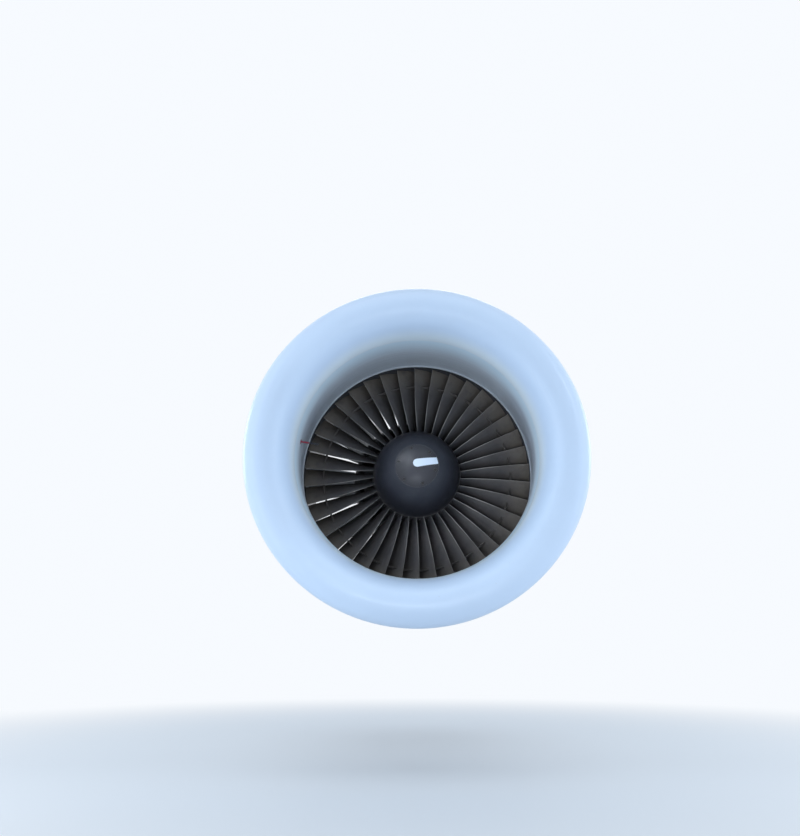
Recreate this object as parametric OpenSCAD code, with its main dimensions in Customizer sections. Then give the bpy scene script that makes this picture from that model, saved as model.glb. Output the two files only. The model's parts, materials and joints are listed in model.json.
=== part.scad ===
// High-bypass turbofan with a rolled bellmouth intake, bare behind its fan case.
// Stations run aft along the engine axis from the front flange of the fan case.

/* [Bellmouth] */
// Largest radius of the rolled lip
lip_r = 1460; // [1440:1:1480]
// Distance of the lip's widest plane ahead of the fan case
lip_ahead = 976; // [960:1:990]
// Depth of the roll ahead of its widest plane
lip_front = 170; // [150:1:190]
// Radius of the lip's foremost circle
lip_nose_r = 1270; // [1250:1:1290]
// Radius of the curl behind the lip's widest plane
lip_curl_r = 60; // [40:1:80]
// Wall of the moulded bellmouth
lip_wall = 12; // [8:1:16]

/* [Inlet duct] */
// Length of the metal duct between bellmouth and fan case
duct_length = 776; // [740:1:800]
// Distance of the throat ahead of the fan case
throat_ahead = 576; // [560:1:600]
// Radius of the throat
throat_r = 1045; // [1035:1:1055]
// Radius where the bellmouth meets the duct
duct_front_r = 1060; // [1056:1:1070]
// Wall of the duct
duct_wall = 8; // [6:1:10]

/* [Fan case] */
// Inner radius of the fan case
case_r = 1100; // [1098:1:1104]
// Length of the fan case
case_length = 700; // [680:1:710]
// Wall of the fan case
case_wall = 16; // [12:1:20]
// Thickness of the rub strip around the blade tips
rub_wall = 6; // [4:1:8]

/* [Fan rotor] */
// Number of fan blades
blade_count = 38; // [36:1:38]
// Running clearance between the blade tips and the fan case
tip_clearance = 5; // [5:1:7]
// Radius of the hub at the front of the blades
hub_r = 417; // [414:1:420]
// Slope of the hub line, radius gained along the blade platforms
hub_rise = 26; // [20:1:30]
// Chord of a blade at the hub
root_chord = 160; // [150:1:165]
// Chord of a blade at the tip
tip_chord = 215; // [205:1:220]
// Stagger of a blade at the hub, from the axis
root_stagger = 17; // [14:1:20]
// Stagger of a blade at the tip, from the axis
tip_stagger = 62; // [60:1:63]
// Radius of the part-span shroud
shroud_r = 911; // [900:1:920]
// Thickness of the part-span shroud
shroud_wall = 20; // [16:1:24]
// Gap between neighbouring shrouds and platforms
blade_gap = 0.3; // [0.2:0.1:0.5]
// Turn of the fan at rest
fan_turn = 8.5; // [0:0.5:9]

/* [Spinner] */
// Distance of the front plate ahead of the fan case
cap_ahead = 340; // [320:1:350]
// Radius of the front plate
cap_r = 198; // [190:1:204]
// Radius of the circle of plate bolts
cap_bolt_r = 174; // [166:1:178]
// Number of plate bolts
cap_bolt_count = 6; // [4:1:8]
// Wall of the spinner shell
spinner_wall = 6; // [4:1:8]

/* [Core] */
// Radius of the splitter nose
splitter_r = 600; // [590:1:610]
// Radius of the low pressure shaft
lp_shaft_r = 50; // [46:1:52]
// Radius of the fan shaft
fan_shaft_r = 140; // [135:1:145]
// Radius of the bore through the high pressure spool
spool_bore_r = 66; // [64:1:68]
// Radius of the high pressure journals
spool_journal_r = 100; // [98:1:104]
// Inner radius of the combustor case
burner_r = 400; // [395:1:405]
// Wall of the core cases
core_wall = 10; // [8:1:12]
// Blades in each booster row
booster_blades = 24; // [20:1:28]
// Blades in each compressor row
compressor_blades = 20; // [18:1:24]
// Blades in each turbine row
turbine_blades = 26; // [24:1:30]
// Clearance between rotor and stator tips
tip_gap = 4; // [3:0.5:5]
// Number of fuel nozzles
nozzle_count = 20; // [16:2:20]

/* [Gearbox] */
// Module of the spur gears
gear_module = 5; // [4.8:0.1:5.2]
// Height of the arc of gear shafts over the skin of the fan case
gear_lift = 174; // [164:1:184]
// Face width of the spur gears
gear_face = 30; // [26:1:34]
// Radius of the accessory shafts
gear_shaft_r = 25; // [22:1:28]
// Wall of the gearbox casting
box_wall = 10; // [8:1:12]
// Radial running clearance of shafts in their bearings
run_gap = 0.05; // [0.04:0.01:0.08]

/* [Mounts] */
// Height of the forward mount's face over the skin of the fan case
mount_lift = 134; // [124:1:154]
// Distance of the forward mount behind the fan case's rear flange
mount_behind = 150; // [140:1:160]
// Spacing of the mount holes across the engine
mount_hole_x = 220; // [200:1:240]
// Spacing of the mount holes along the engine
mount_hole_y = 100; // [90:1:110]
// Radius of the mount holes
mount_hole_r = 13; // [11:0.5:15]
// Radius of the aft mount's pin bore
aft_bore_r = 20; // [18:0.5:22]

/* [Hidden] */
$fn = 96;

// Gap that seats one piece on another
seat = 0.3;
// Width and thickness of the bolted flanges
flange_h = 38;
flange_t = 12;
// Across the flats and height of a flange bolt's head
head_af = 22;
head_h = 12;

// Stations of the intake
duct_s = -duct_length;
lip_s = -lip_ahead;

// Blade platforms and disc rim
platform_s = 30;
platform_end = 200;
platform_in_r = hub_r - 17;
blade_mid_s = 115;
pitch_a = 360 / blade_count;

// Stations of the core, front to back, and the radius of the cowl inside the bypass
cowl_r = splitter_r + 40;
splitter_s = 330;
booster_s = 350;
booster_rows = 3;
booster_step = (case_length - 20 - booster_s) / booster_rows;
booster_hub_r = hub_r + hub_rise;
frame_s = case_length;
frame_length = 300;
frame_end = frame_s + frame_length;
hpc_s = frame_end;
hpc_first = hpc_s + 50;
hpc_step = 110;
hpc_rows = 5;
hpc_end = hpc_s + 640;
burner_end = hpc_end + 460;
hpt_s = burner_end + 115;
lpt_s = burner_end + 220;
lpt_first = lpt_s + 120;
lpt_step = 130;
lpt_rows = 4;
lpt_end = lpt_s + 640;
rear_end = lpt_end + 230;
nozzle_end = rear_end + 550;
plug_end = nozzle_end + 220;

// Bevel drive under the front of the high pressure spool
bevel_s = frame_s + frame_length / 2;

// Places a child that is drawn along the engine axis, stations along its z
module on_axis() {
    translate([0, -mount_aft, -mount_height]) rotate([-90, 0, 0]) children();
}

// Solid of revolution from points given as radius and station
module turned(points) {
    rotate_extrude() polygon(points);
}

// Plain ring from radius a to radius b and station s to station e
module ring(a, b, s, e) {
    turned([[a, s], [b, s], [b, e], [a, e]]);
}

// Copies of a child, evenly turned about the axis
module around(count, start = 0) {
    for (i = [0 : count - 1]) rotate([0, 0, start + 360 * i / count]) children();
}

// Points of a list in the opposite order
function flip(points) = [for (i = [len(points) - 1 : -1 : 0]) points[i]];

// Value between a and b at the share t
function mix(a, b, t) = a + (b - a) * t;

// Outer radii of the duct's front flange, the fan case, the blades and the flanges
joint_r = duct_front_r + duct_wall + flange_h;
case_out_r = case_r + case_wall;
tip_r = case_r - tip_clearance;
gear_arc_r = case_out_r + gear_lift;
mount_height = case_out_r + mount_lift;
mount_aft = case_length + mount_behind;
case_flange_r = case_out_r + flange_h;

// Line of the bellmouth, moved in by t: inner bell, roll and curl
function bell_line(t) = concat(
    [for (a = [0 : 9 : 90]) [
        lip_nose_r - (lip_nose_r - duct_front_r - t) * cos(a),
        duct_s - (duct_s - lip_s + lip_front - t) * sin(a)
    ]],
    [for (a = [10 : 10 : 90]) [
        lip_nose_r + (lip_r - lip_nose_r - t) * sin(a),
        lip_s - (lip_front - t) * cos(a)
    ]],
    [for (a = [15 : 15 : 90]) [
        lip_r - lip_curl_r + (lip_curl_r - t) * cos(a),
        lip_s + (lip_curl_r - t) * sin(a)
    ]]
);

// Moulded white shell with a return edge and a bolting flange
module bellmouth() {
    edge_r = lip_r - lip_curl_r;
    edge_s = lip_s + lip_curl_r;
    color("white") on_axis() union() {
        turned(concat(bell_line(0), flip(bell_line(lip_wall))));
        ring(edge_r - flange_h, edge_r + 1, edge_s - lip_wall, edge_s);
        ring(duct_front_r + lip_wall / 2, joint_r, duct_s - flange_t, duct_s);
    }
}

// Welded frame behind the lip: two rings joined by gussets
module bellmouth_braces() {
    edge_r = lip_r - lip_curl_r;
    edge_s = lip_s + lip_curl_r;
    gussets = 12;
    plate = 8;
    color("gainsboro") on_axis() union() {
        ring(edge_r - flange_h, edge_r - 2, edge_s, edge_s + plate);
        ring(joint_r + seat, joint_r + seat + plate, duct_s - flange_t, duct_s + 4 * flange_t);
        around(gussets) translate([0, plate / 2, 0]) rotate([90, 0, 0]) linear_extrude(plate) polygon([
            [joint_r + plate / 2, duct_s], [joint_r + plate / 2, duct_s + 4 * flange_t],
            [joint_r + 60, duct_s + 4 * flange_t], [edge_r - 3, edge_s + 40],
            [edge_r - 3, edge_s + plate / 2], [edge_r - flange_h, edge_s + plate / 2]
        ]);
    }
}

// Radius of the duct's flow side at a station
function duct_r(s) = s < -throat_ahead
    ? throat_r + (duct_front_r - throat_r) * pow((s + throat_ahead) / (duct_length - throat_ahead), 2)
    : throat_r + (case_r - throat_r) * (1 - cos(180 * (s + throat_ahead) / throat_ahead)) / 2;

// Inlet probe, on the left of the duct seen from the front
probe_s = -620;
probe_a = 188.5;
probe_r = 22;
probe_reach = 160;

// Metal duct with the throat, flanged at both ends and ribbed outside
module inlet_duct() {
    steps = 16;
    flow = [for (i = [0 : steps]) let (s = mix(duct_s, 0, i / steps)) [duct_r(s), s]];
    back = [for (p = flow) [p[0] + duct_wall, p[1]]];
    rib = 30;
    color("silver") on_axis() difference() {
        union() {
            turned(concat(flow, flip(back)));
            ring(duct_front_r + duct_wall / 2, joint_r, duct_s, duct_s + flange_t);
            ring(case_r + duct_wall / 2, case_flange_r, -flange_t, 0);
            for (s = [-throat_ahead, -throat_ahead / 4])
                ring(duct_r(s) + duct_wall / 2, duct_r(s) + duct_wall + rib, s, s + duct_wall);
        }
        rotate([0, 0, probe_a]) translate([duct_r(probe_s) - probe_r, 0, probe_s])
            rotate([0, 90, 0]) cylinder(r = probe_r + seat, h = 3 * probe_r);
    }
}

// Red strut with a dark sensing head, held in a round foot through the duct wall
module inlet_probe() {
    chord = 38;
    thick = 14;
    foot_r = duct_r(probe_s);
    head_r = 11;
    color("firebrick") on_axis() rotate([0, 0, probe_a]) translate([0, 0, probe_s]) rotate([0, 90, 0]) {
        translate([0, 0, foot_r]) cylinder(r = probe_r, h = duct_wall + 24);
        translate([0, 0, foot_r - probe_reach + 2 * head_r]) linear_extrude(probe_reach)
            polygon(lens(chord, thick));
        translate([0, 0, foot_r - probe_reach]) cylinder(r = head_r, h = 3 * head_r);
    }
}

// Six-sided section of a strut or vane, its chord along x
function lens(c, t) = [
    [c / 2, 0], [c / 5, t / 2], [-c / 5, t * 0.42], [-c / 2, 0], [-c / 5, -t * 0.42], [c / 5, -t / 2]
];

// Cambered section of a vane, its chord along x and its back along y
function vane_section(c, t, bow) = [
    [c / 2, 0], [c * 0.22, t * 0.5 + bow * 0.8], [-c * 0.2, t * 0.4 + bow * 0.84],
    [-c / 2, 0], [-c * 0.2, -t * 0.4 + bow * 0.84], [c * 0.22, -t * 0.5 + bow * 0.8]
];

// Row of straight vanes from radius a to radius b
module vane_row(count, a, b, s, chord, thick, bow, turn) {
    around(count) translate([a, 0, s]) rotate([0, 90, 0]) rotate([0, 0, turn])
        linear_extrude(b - a) polygon(vane_section(chord, thick, bow));
}

// Stations of the fan case's ribs, between its flanges
rib_stations = [case_length * 0.3, case_length * 0.5, case_length * 0.7];

// Containment case round the fan, with a recess for the rub strip
module fan_case() {
    rib = 24;
    color("slategray") on_axis() difference() {
        union() {
            ring(case_r, case_out_r, 0, case_length);
            ring(case_out_r - 1, case_flange_r, 0, flange_t);
            ring(case_out_r - 1, case_flange_r, case_length - flange_t, case_length);
            for (s = rib_stations) ring(case_out_r - 1, case_out_r + rib, s, s + flange_t);
        }
        ring(case_r - 1, case_r + rub_wall + seat, platform_s, platform_end);
    }
}

// Soft ring in which the blade tips may rub
module rub_strip() {
    color("dimgray") on_axis() ring(case_r, case_r + rub_wall, platform_s + seat, platform_end - seat);
}

// Outlet vanes behind the fan, each bolted between the cowl and the fan case
vane_count = 48;
vane_s = case_length * 0.7;
module outlet_vanes() {
    color("lightsteelblue") on_axis()
        vane_row(vane_count, cowl_r + seat, case_r - 2 * seat, vane_s, 136, 9, 8, 20);
}

// Share of the span, chord, stagger, bow and thickness of a fan blade at a radius
function span_share(r) = (r - hub_r) / (tip_r - hub_r);
function blade_chord(r) = mix(root_chord, tip_chord, span_share(r));
function blade_stagger(r) = atan(mix(tan(root_stagger), tan(tip_stagger), span_share(r)));
function blade_bow(r) = blade_chord(r) * tan(mix(55, 9, span_share(r)) / 4) / 2;
function blade_thick(r) = blade_chord(r) * mix(0.085, 0.028, span_share(r));

// Section of a fan blade on the cylinder of radius r, back first and then front
blade_cuts = [0, 0.08, 0.32, 0.68, 1];
last_cut = len(blade_cuts) - 1;
function blade_point(r, u, side) =
    let (c = blade_chord(r), g = blade_stagger(r))
    let (x = (u - 0.5) * c)
    let (y = 4 * u * (1 - u) * blade_bow(r) + side * blade_thick(r) * sqrt(u) * (1 - u) * 1.3)
    let (t = x * sin(g) + y * cos(g))
    [sqrt(r * r - t * t), t, blade_mid_s + x * cos(g) - y * sin(g)];
function blade_section(r) = concat(
    [for (u = blade_cuts) blade_point(r, u, 1)],
    [for (i = [last_cut - 1 : -1 : 1]) blade_point(r, blade_cuts[i], -1)]
);

// Triangles that close a section
section_n = 2 * last_cut;
cap_faces = concat(
    [[0, 1, section_n - 1], [last_cut - 1, last_cut, last_cut + 1]],
    [for (i = [1 : last_cut - 2]) [i, i + 1, section_n - i]],
    [for (i = [1 : last_cut - 2]) [i + 1, section_n - 1 - i, section_n - i]]
);

// Twisted aerofoil of a fan blade, from under its platform to the tip
module fan_aerofoil() {
    rows = 5;
    root_r = platform_in_r + 8;
    points = [for (k = [0 : rows]) each blade_section(mix(root_r, tip_r, k / rows))];
    sides = [for (k = [0 : rows - 1], j = [0 : section_n - 1])
        let (a = k * section_n + j, b = k * section_n + (j + 1) % section_n)
        each [[a, a + section_n, b + section_n], [a, b + section_n, b]]];
    tip_cap = [for (f = cap_faces) [for (i = flip(f)) i + rows * section_n]];
    polyhedron(concat(points), concat(sides, cap_faces, tip_cap));
}

// Sector of a revolved profile that leaves half a gap to each neighbour
module sector(profile, radius) {
    gap_a = blade_gap / radius * 90 / PI;
    rotate([0, 0, -pitch_a / 2 + gap_a]) rotate_extrude(angle = pitch_a - 2 * gap_a) polygon(profile);
}

// Dovetail by which a blade sits in the disc, widened by gap for the slot
neck_half = 16;
foot_half = 22;
dovetail_h = 38;
function dovetail(gap, top) = [
    [top, -neck_half - gap], [platform_in_r - 14, -neck_half - gap],
    [platform_in_r - 28, -foot_half - gap], [platform_in_r - dovetail_h - gap, -foot_half - gap],
    [platform_in_r - dovetail_h - gap, foot_half + gap], [platform_in_r - 28, foot_half + gap],
    [platform_in_r - 14, neck_half + gap], [top, neck_half + gap]
];

// One fan blade: aerofoil, part-span shroud, platform and dovetail
module fan_blade() {
    half = shroud_wall / 2;
    shroud_front = blade_mid_s - 32;
    shroud_back = blade_mid_s + 34;
    union() {
        fan_aerofoil();
        sector([
            [shroud_r, shroud_front], [shroud_r + half * 0.8, shroud_front + 9],
            [shroud_r + half, blade_mid_s], [shroud_r + half * 0.7, shroud_back - 12],
            [shroud_r, shroud_back], [shroud_r - half * 0.7, shroud_back - 12],
            [shroud_r - half, blade_mid_s], [shroud_r - half * 0.8, shroud_front + 9]
        ], shroud_r);
        sector([
            [platform_in_r, platform_s], [hub_r, platform_s],
            [hub_r + hub_rise, platform_end], [platform_in_r, platform_end]
        ], hub_r);
        translate([0, 0, platform_s]) linear_extrude(platform_end - platform_s)
            polygon(dovetail(0, platform_in_r + 4));
    }
}

// Separate blades, part-span shrouds nearly touching
module fan_blades() {
    color("dimgray") on_axis() around(blade_count, fan_turn) fan_blade();
}

// Forged disc with a dovetail slot for each blade
module fan_disc() {
    rim_r = platform_in_r - seat;
    web = 20;
    color("gray") on_axis() difference() {
        turned([
            [fan_shaft_r + seat, 70], [fan_shaft_r + 50, 70], [fan_shaft_r + 60, blade_mid_s - web],
            [rim_r - 80, blade_mid_s - web], [rim_r - 60, platform_s], [rim_r, platform_s],
            [rim_r, platform_end], [rim_r - 60, platform_end], [rim_r - 80, blade_mid_s + web],
            [fan_shaft_r + 60, blade_mid_s + web], [fan_shaft_r + 50, 160], [fan_shaft_r + seat, 160]
        ]);
        around(blade_count, fan_turn) translate([0, 0, platform_s - 1])
            linear_extrude(platform_end - platform_s + 2) polygon(dovetail(seat, platform_in_r + 4));
    }
}

// Radius of the spinner's elliptical dome at a station
dome_s = 50;
dome_depth = (dome_s + cap_ahead) / sqrt(1 - pow((cap_r + 6) / hub_r, 2));
function dome_r(s) = hub_r * sqrt(1 - pow((dome_s - s) / dome_depth, 2));

// Turned spinner shell, open at the front for its plate and flanged at the back
module spinner() {
    cap_s = -cap_ahead;
    back_s = platform_s - seat;
    steps = 14;
    ledge_r = cap_bolt_r - 26;
    outer = [for (i = [0 : steps]) let (s = mix(cap_s, back_s, sin(90 * i / steps))) [dome_r(s), s]];
    color("darkslategray") on_axis() difference() {
        turned(concat(
            [[cap_r + seat, cap_s], outer[0]],
            [for (i = [1 : steps]) outer[i]],
            [[hub_r - 70, back_s], [hub_r - 70, back_s - 10], [dome_r(back_s) - spinner_wall, back_s - 10]],
            [for (i = [steps - 1 : -1 : 2]) [outer[i][0] - spinner_wall, outer[i][1] + spinner_wall / 3]],
            [[cap_r - 4, cap_s + 20], [ledge_r, cap_s + 20],
             [ledge_r, cap_s + cap_t], [cap_r + seat, cap_s + cap_t]]
        ));
        around(cap_bolt_count, cap_bolt_turn) translate([cap_bolt_r, 0, cap_s + cap_t - 1])
            cylinder(r = cap_hole_r, h = 2 * cap_t);
    }
}

// Shallow front plate, let into the spinner's mouth, with a flat spot under each bolt
cap_t = 10;
cap_rise = 46;
cap_hole_r = 7;
cap_head_r = 13;
cap_spot_s = -cap_ahead - 1;
cap_bolt_turn = 13;
module spinner_cap() {
    back_s = -cap_ahead + cap_t - seat;
    color("darkslategray") on_axis() difference() {
        turned(concat(
            [[0, back_s], [cap_r, back_s]],
            [for (a = [0 : 11.25 : 90]) [cap_r * cos(a), -cap_ahead - cap_rise * pow(sin(a), 2)]]
        ));
        around(cap_bolt_count, cap_bolt_turn) translate([cap_bolt_r, 0, cap_spot_s]) {
            cylinder(r = cap_hole_r, h = 2 * cap_t);
            translate([0, 0, -cap_rise]) cylinder(r = cap_head_r + 2, h = cap_rise);
        }
    }
}

// Bolts through the front plate into the spinner's ledge
module spinner_bolts() {
    head = 8;
    color("silver") on_axis() around(cap_bolt_count, cap_bolt_turn)
        translate([cap_bolt_r, 0, cap_spot_s - seat]) {
            translate([0, 0, -head]) cylinder(r = cap_head_r, h = head);
            cylinder(r = cap_hole_r - seat, h = 2 * cap_t);
        }
}

// Hollow shaft that carries the fan disc in the two front bearings
shaft_end = frame_s - 40;
fan_bearing_s = 300;
thrust_bearing_s = frame_s - 90;
module fan_shaft() {
    wall = 16;
    r = fan_shaft_r;
    color("lightgray") on_axis() turned([
        [r - wall, 60], [r, 60], [r, 160 + seat], [r + 48, 160 + seat], [r + 48, 176],
        [r, 176], [r, shaft_end], [lp_shaft_r + seat, shaft_end],
        [lp_shaft_r + seat, shaft_end - 90], [lp_shaft_r + 14, shaft_end - 90],
        [lp_shaft_r + 30, shaft_end - 20], [r - wall, shaft_end - 20]
    ]);
}

// Bearing: outer race and rollers that run on the shaft's own track
module roller_bearing(shaft_r, s, width) {
    roller_r = 10;
    rollers = 20;
    race_r = shaft_r + run_gap + 2 * roller_r;
    color("silver") on_axis() {
        ring(race_r, race_r + bearing_wall, s - width / 2, s + width / 2);
        around(rollers) translate([shaft_r + run_gap + roller_r, 0, s - width / 2 + 4])
            cylinder(r = roller_r - 0.02, h = width - 8, $fn = 32);
    }
}
bearing_wall = 10;
bearing_w = 34;
function race_out_r(shaft_r) = shaft_r + run_gap + 20 + bearing_wall;

module fan_bearing() roller_bearing(fan_shaft_r, fan_bearing_s, bearing_w);
module thrust_bearing() roller_bearing(fan_shaft_r, thrust_bearing_s, bearing_w);

// Cone that carries the two front bearings from the fan frame
module bearing_support() {
    seat_r = race_out_r(fan_shaft_r) + seat;
    wall = 10;
    cone_r = booster_hub_r - 50;
    half = bearing_w / 2 + 4;
    web_r = mix(seat_r + wall, cone_r, (thrust_bearing_s - fan_bearing_s) / (frame_s - fan_bearing_s));
    color("slategray") on_axis() union() {
        turned([
            [seat_r, fan_bearing_s - half], [seat_r + wall, fan_bearing_s - half],
            [seat_r + wall, fan_bearing_s + half], [cone_r + wall, frame_s], [cone_r - 20, frame_s],
            [cone_r - 20, frame_s - wall], [cone_r - 6, frame_s - wall], [seat_r, fan_bearing_s + half]
        ]);
        ring(seat_r, seat_r + wall, thrust_bearing_s - half, thrust_bearing_s + half);
        ring(seat_r + wall / 2, web_r + 4, thrust_bearing_s - 5, thrust_bearing_s + 5);
    }
}

// Station of a booster rotor row, and the radius of the case round it
function booster_row(i) = booster_s + 20 + booster_step * i;
function booster_case_r(s) = mix(splitter_r - 14, splitter_r - 36, (s - splitter_s) / (frame_s - splitter_s));

// Drum of the booster with its rotor rows
module booster_spool() {
    wall = 8;
    r = booster_hub_r;
    start = platform_end + seat;
    end_s = frame_s - 20;
    color("lightgray") on_axis() union() {
        turned([
            [platform_in_r - 60, start], [r, start], [r, end_s], [r - wall, end_s],
            [r - wall, start + wall], [platform_in_r - 60, start + wall]
        ]);
        for (i = [0 : booster_rows - 1]) let (s = booster_row(i))
            vane_row(booster_blades, r - wall / 2, booster_case_r(s) - tip_gap, s, 44, 6, 4, 42);
    }
}

// Booster case with its stator rows
module booster_case() {
    wall = 8;
    front = splitter_s + 16;
    color("gray") on_axis() union() {
        turned([
            [booster_case_r(front), front], [booster_case_r(front) + wall, front],
            [booster_case_r(frame_s) + wall, frame_s], [booster_case_r(frame_s), frame_s]
        ]);
        for (i = [0 : booster_rows - 1]) let (s = booster_row(i) + booster_step / 2)
            vane_row(booster_blades, booster_hub_r + tip_gap, booster_case_r(s) + wall / 2,
                     s, 40, 5, -4, -28);
    }
}

// Fairing that parts the bypass air from the core air
module splitter() {
    wall = 8;
    root_r = booster_case_r(splitter_s + 16) + 8 + seat;
    end_r = booster_case_r(frame_s - wall) + 8 + seat;
    color("silver") on_axis() turned([
        [splitter_r, splitter_s], [splitter_r + 22, splitter_s + 44], [cowl_r - 6, splitter_s + 90],
        [cowl_r, splitter_s + 130], [cowl_r, frame_s], [end_r, frame_s], [end_r, frame_s - wall],
        [cowl_r - wall, frame_s - wall], [cowl_r - wall, splitter_s + 132],
        [cowl_r - wall - 8, splitter_s + 96], [root_r, splitter_s + 40], [root_r, splitter_s + 16],
        [splitter_r - 4, splitter_s + 6]
    ]);
}

// Walls of the core duct through the fan frame
function neck(t) = (1 - cos(180 * t)) / 2;
function frame_share(s) = (s - frame_s) / (frame_end - frame_s);
function neck_out_r(s) = mix(booster_case_r(frame_s), hpc_case_r(hpc_s), neck(frame_share(s)));
function neck_in_r(s) = mix(booster_hub_r - 8, hpc_hub_r(hpc_s) + 6, neck(frame_share(s)));

// Compressor's drum and case radii at a station
function hpc_hub_r(s) = mix(200, 262, (s - hpc_s) / (hpc_end - hpc_s));
function hpc_case_r(s) = mix(352, 300, (s - hpc_s) / (hpc_end - hpc_s));

// Radii of the radial drive shaft and of the passage round it
drive_shaft_r = 18;
drive_hole_r = 26;

// Plate along the core duct, from wall to wall
module neck_strut(thick) {
    cuts = [for (i = [0 : 6]) mix(frame_s + 40, frame_end - 30, i / 6)];
    inner = [for (s = cuts) [neck_in_r(s) - 4, s]];
    outer = [for (s = cuts) [neck_out_r(s) + 4, s]];
    translate([0, thick / 2, 0]) rotate([90, 0, 0]) linear_extrude(thick)
        polygon(concat(inner, flip(outer)));
}

// Ring that follows a line of the core duct, with a wall t outward
module neck_wall(line, t) {
    turned(concat(line, flip([for (p = line) [p[0] + t, p[1]]])));
}

// Main frame: outer ring, cowl ring, core duct, struts and the front bearing's web
frame_struts = 12;
neck_struts = 8;
frame_wall = 14;
spool_front_s = frame_end - 38;
module fan_frame() {
    cuts = [for (i = [0 : 10]) mix(frame_s, frame_end, i / 10)];
    mid_s = (frame_s + frame_end) / 2;
    race_r = race_out_r(spool_journal_r) + seat;
    color("slategray") on_axis() difference() {
        union() {
            ring(case_r, case_r + frame_wall, frame_s, frame_end);
            for (s = [frame_s, frame_end - flange_t])
                ring(case_r + frame_wall - 1, case_flange_r, s, s + flange_t);
            ring(cowl_r - 10, cowl_r, frame_s, frame_end);
            neck_wall([for (s = cuts) [neck_out_r(s), s]], 10);
            neck_wall([for (s = cuts) [neck_in_r(s) - 10, s]], 10);
            ring(neck_out_r(frame_s) + 5, cowl_r - 5, frame_s, frame_s + 10);
            ring(neck_out_r(frame_end) + 5, cowl_r - 5, frame_end - 10, frame_end);
            ring(booster_hub_r - 70, neck_in_r(frame_s) - 5, frame_s, frame_s + 12);
            around(frame_struts) translate([cowl_r - 4, 0, mid_s]) rotate([0, 90, 0])
                linear_extrude(case_r - cowl_r + 8) polygon(lens(240, 66));
            around(neck_struts) neck_strut(64);
            ring(race_r, race_r + 10, spool_front_s - 20, spool_front_s + 20);
            ring(race_r + 5, neck_in_r(spool_front_s) - 5, spool_front_s - 5, spool_front_s + 5);
            rotate([0, 0, 90]) translate([drive_boss_y, 0, bevel_s]) rotate([0, 90, 0])
                cylinder(r = drive_shaft_r + 14, h = neck_in_r(bevel_s) - drive_boss_y + 4);
        }
        rotate([0, 0, 90]) translate([0, 0, bevel_s]) rotate([0, 90, 0]) {
            translate([0, 0, drive_boss_y - 1]) cylinder(r = drive_shaft_r + run_gap, h = case_r);
            translate([0, 0, neck_in_r(bevel_s) + 30]) cylinder(r = drive_hole_r, h = case_r);
        }
    }
}

// Bevel drive: teeth and pitch radii of the two gears on the high pressure spool
spool_bevel_teeth = 50;
pinion_teeth = 30;
spool_bevel_r = 130;
pinion_r = spool_bevel_r * pinion_teeth / spool_bevel_teeth;
bevel_face = 0.22;
drive_boss_y = spool_bevel_r + 30;
miter_teeth = 25;
miter_r = 50;
miter_face = 0.34;

// Tapered gear that points at its apex: pitch radius r at the large end, cone height h
module bevel_gear(teeth, r, h, face, turn) {
    tooth_m = 2 * r / teeth;
    tip = r + 0.5 * tooth_m;
    root = r - 0.95 * tooth_m;
    function at(radius, a) = [radius * cos(a), radius * sin(a)];
    linear_extrude(height = h * face, scale = 1 - face) polygon([
        for (i = [0 : teeth - 1]) let (a = turn + 360 * i / teeth, p = 360 / teeth)
            each [at(root, a - 0.26 * p), at(tip, a - 0.06 * p),
                  at(tip, a + 0.06 * p), at(root, a + 0.26 * p)]
    ]);
}

// Low pressure shaft, from the fan shaft to the rear bearing
lp_journal_r = 70;
rear_bearing_s = lpt_end + 80;
lp_shaft_end = rear_bearing_s + 45;
module lp_shaft() {
    wall = 14;
    color("lightgray") on_axis() union() {
        ring(lp_shaft_r - wall, lp_shaft_r, shaft_end - 100, lp_shaft_end);
        ring(lp_shaft_r - 1, lp_journal_r, rear_bearing_s - bearing_w, lp_shaft_end);
    }
}
module rear_bearing() roller_bearing(lp_journal_r, rear_bearing_s, bearing_w);

// High pressure spool: shaft, bevel, journals and the compressor drum with its rows
spool_shaft_front = bevel_s - pinion_r - 4;
spool_shaft_end = burner_end + 80;
spool_rear_s = burner_end - 200;
drum_wall = 14;
spool_tube_r = 84;
function compressor_row(i) = hpc_first + hpc_step * i;
module core_spool() {
    front = hpc_s + 8;
    back = hpc_end - 20;
    color("lightgray") on_axis() difference() {
        union() {
            ring(spool_bore_r - 1, spool_tube_r, spool_shaft_front, spool_shaft_end);
            ring(spool_tube_r - 1, spool_journal_r, spool_front_s - 26, front + 4);
            ring(spool_tube_r - 1, spool_journal_r, spool_rear_s - 30, spool_rear_s + 30);
            ring(spool_journal_r - 1, hpc_hub_r(front) - 4, front, front + 12);
            turned([
                [hpc_hub_r(front) - drum_wall, front], [hpc_hub_r(front), front],
                [hpc_hub_r(back), back], [hpc_hub_r(back) - drum_wall, back]
            ]);
            ring(spool_tube_r - 1, hpc_hub_r(back) - 4, back - 12, back);
            ring(spool_tube_r - 1, spool_flange_r, spool_shaft_end - 12, spool_shaft_end);
            for (i = [0 : hpc_rows - 1]) let (s = compressor_row(i))
                vane_row(compressor_blades, hpc_hub_r(s) - 6, hpc_case_r(s) - tip_gap - 2, s, 38, 5, 3, 48);
            translate([0, 0, bevel_s - pinion_r])
                bevel_gear(spool_bevel_teeth, spool_bevel_r, pinion_r, bevel_face, 0);
        }
        translate([0, 0, spool_shaft_front - 1]) cylinder(r = spool_bore_r, h = spool_shaft_end);
    }
}
spool_flange_r = 130;
module core_front_bearing() roller_bearing(spool_journal_r, spool_front_s, bearing_w);
module core_rear_bearing() roller_bearing(spool_journal_r, spool_rear_s, bearing_w);

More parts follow.
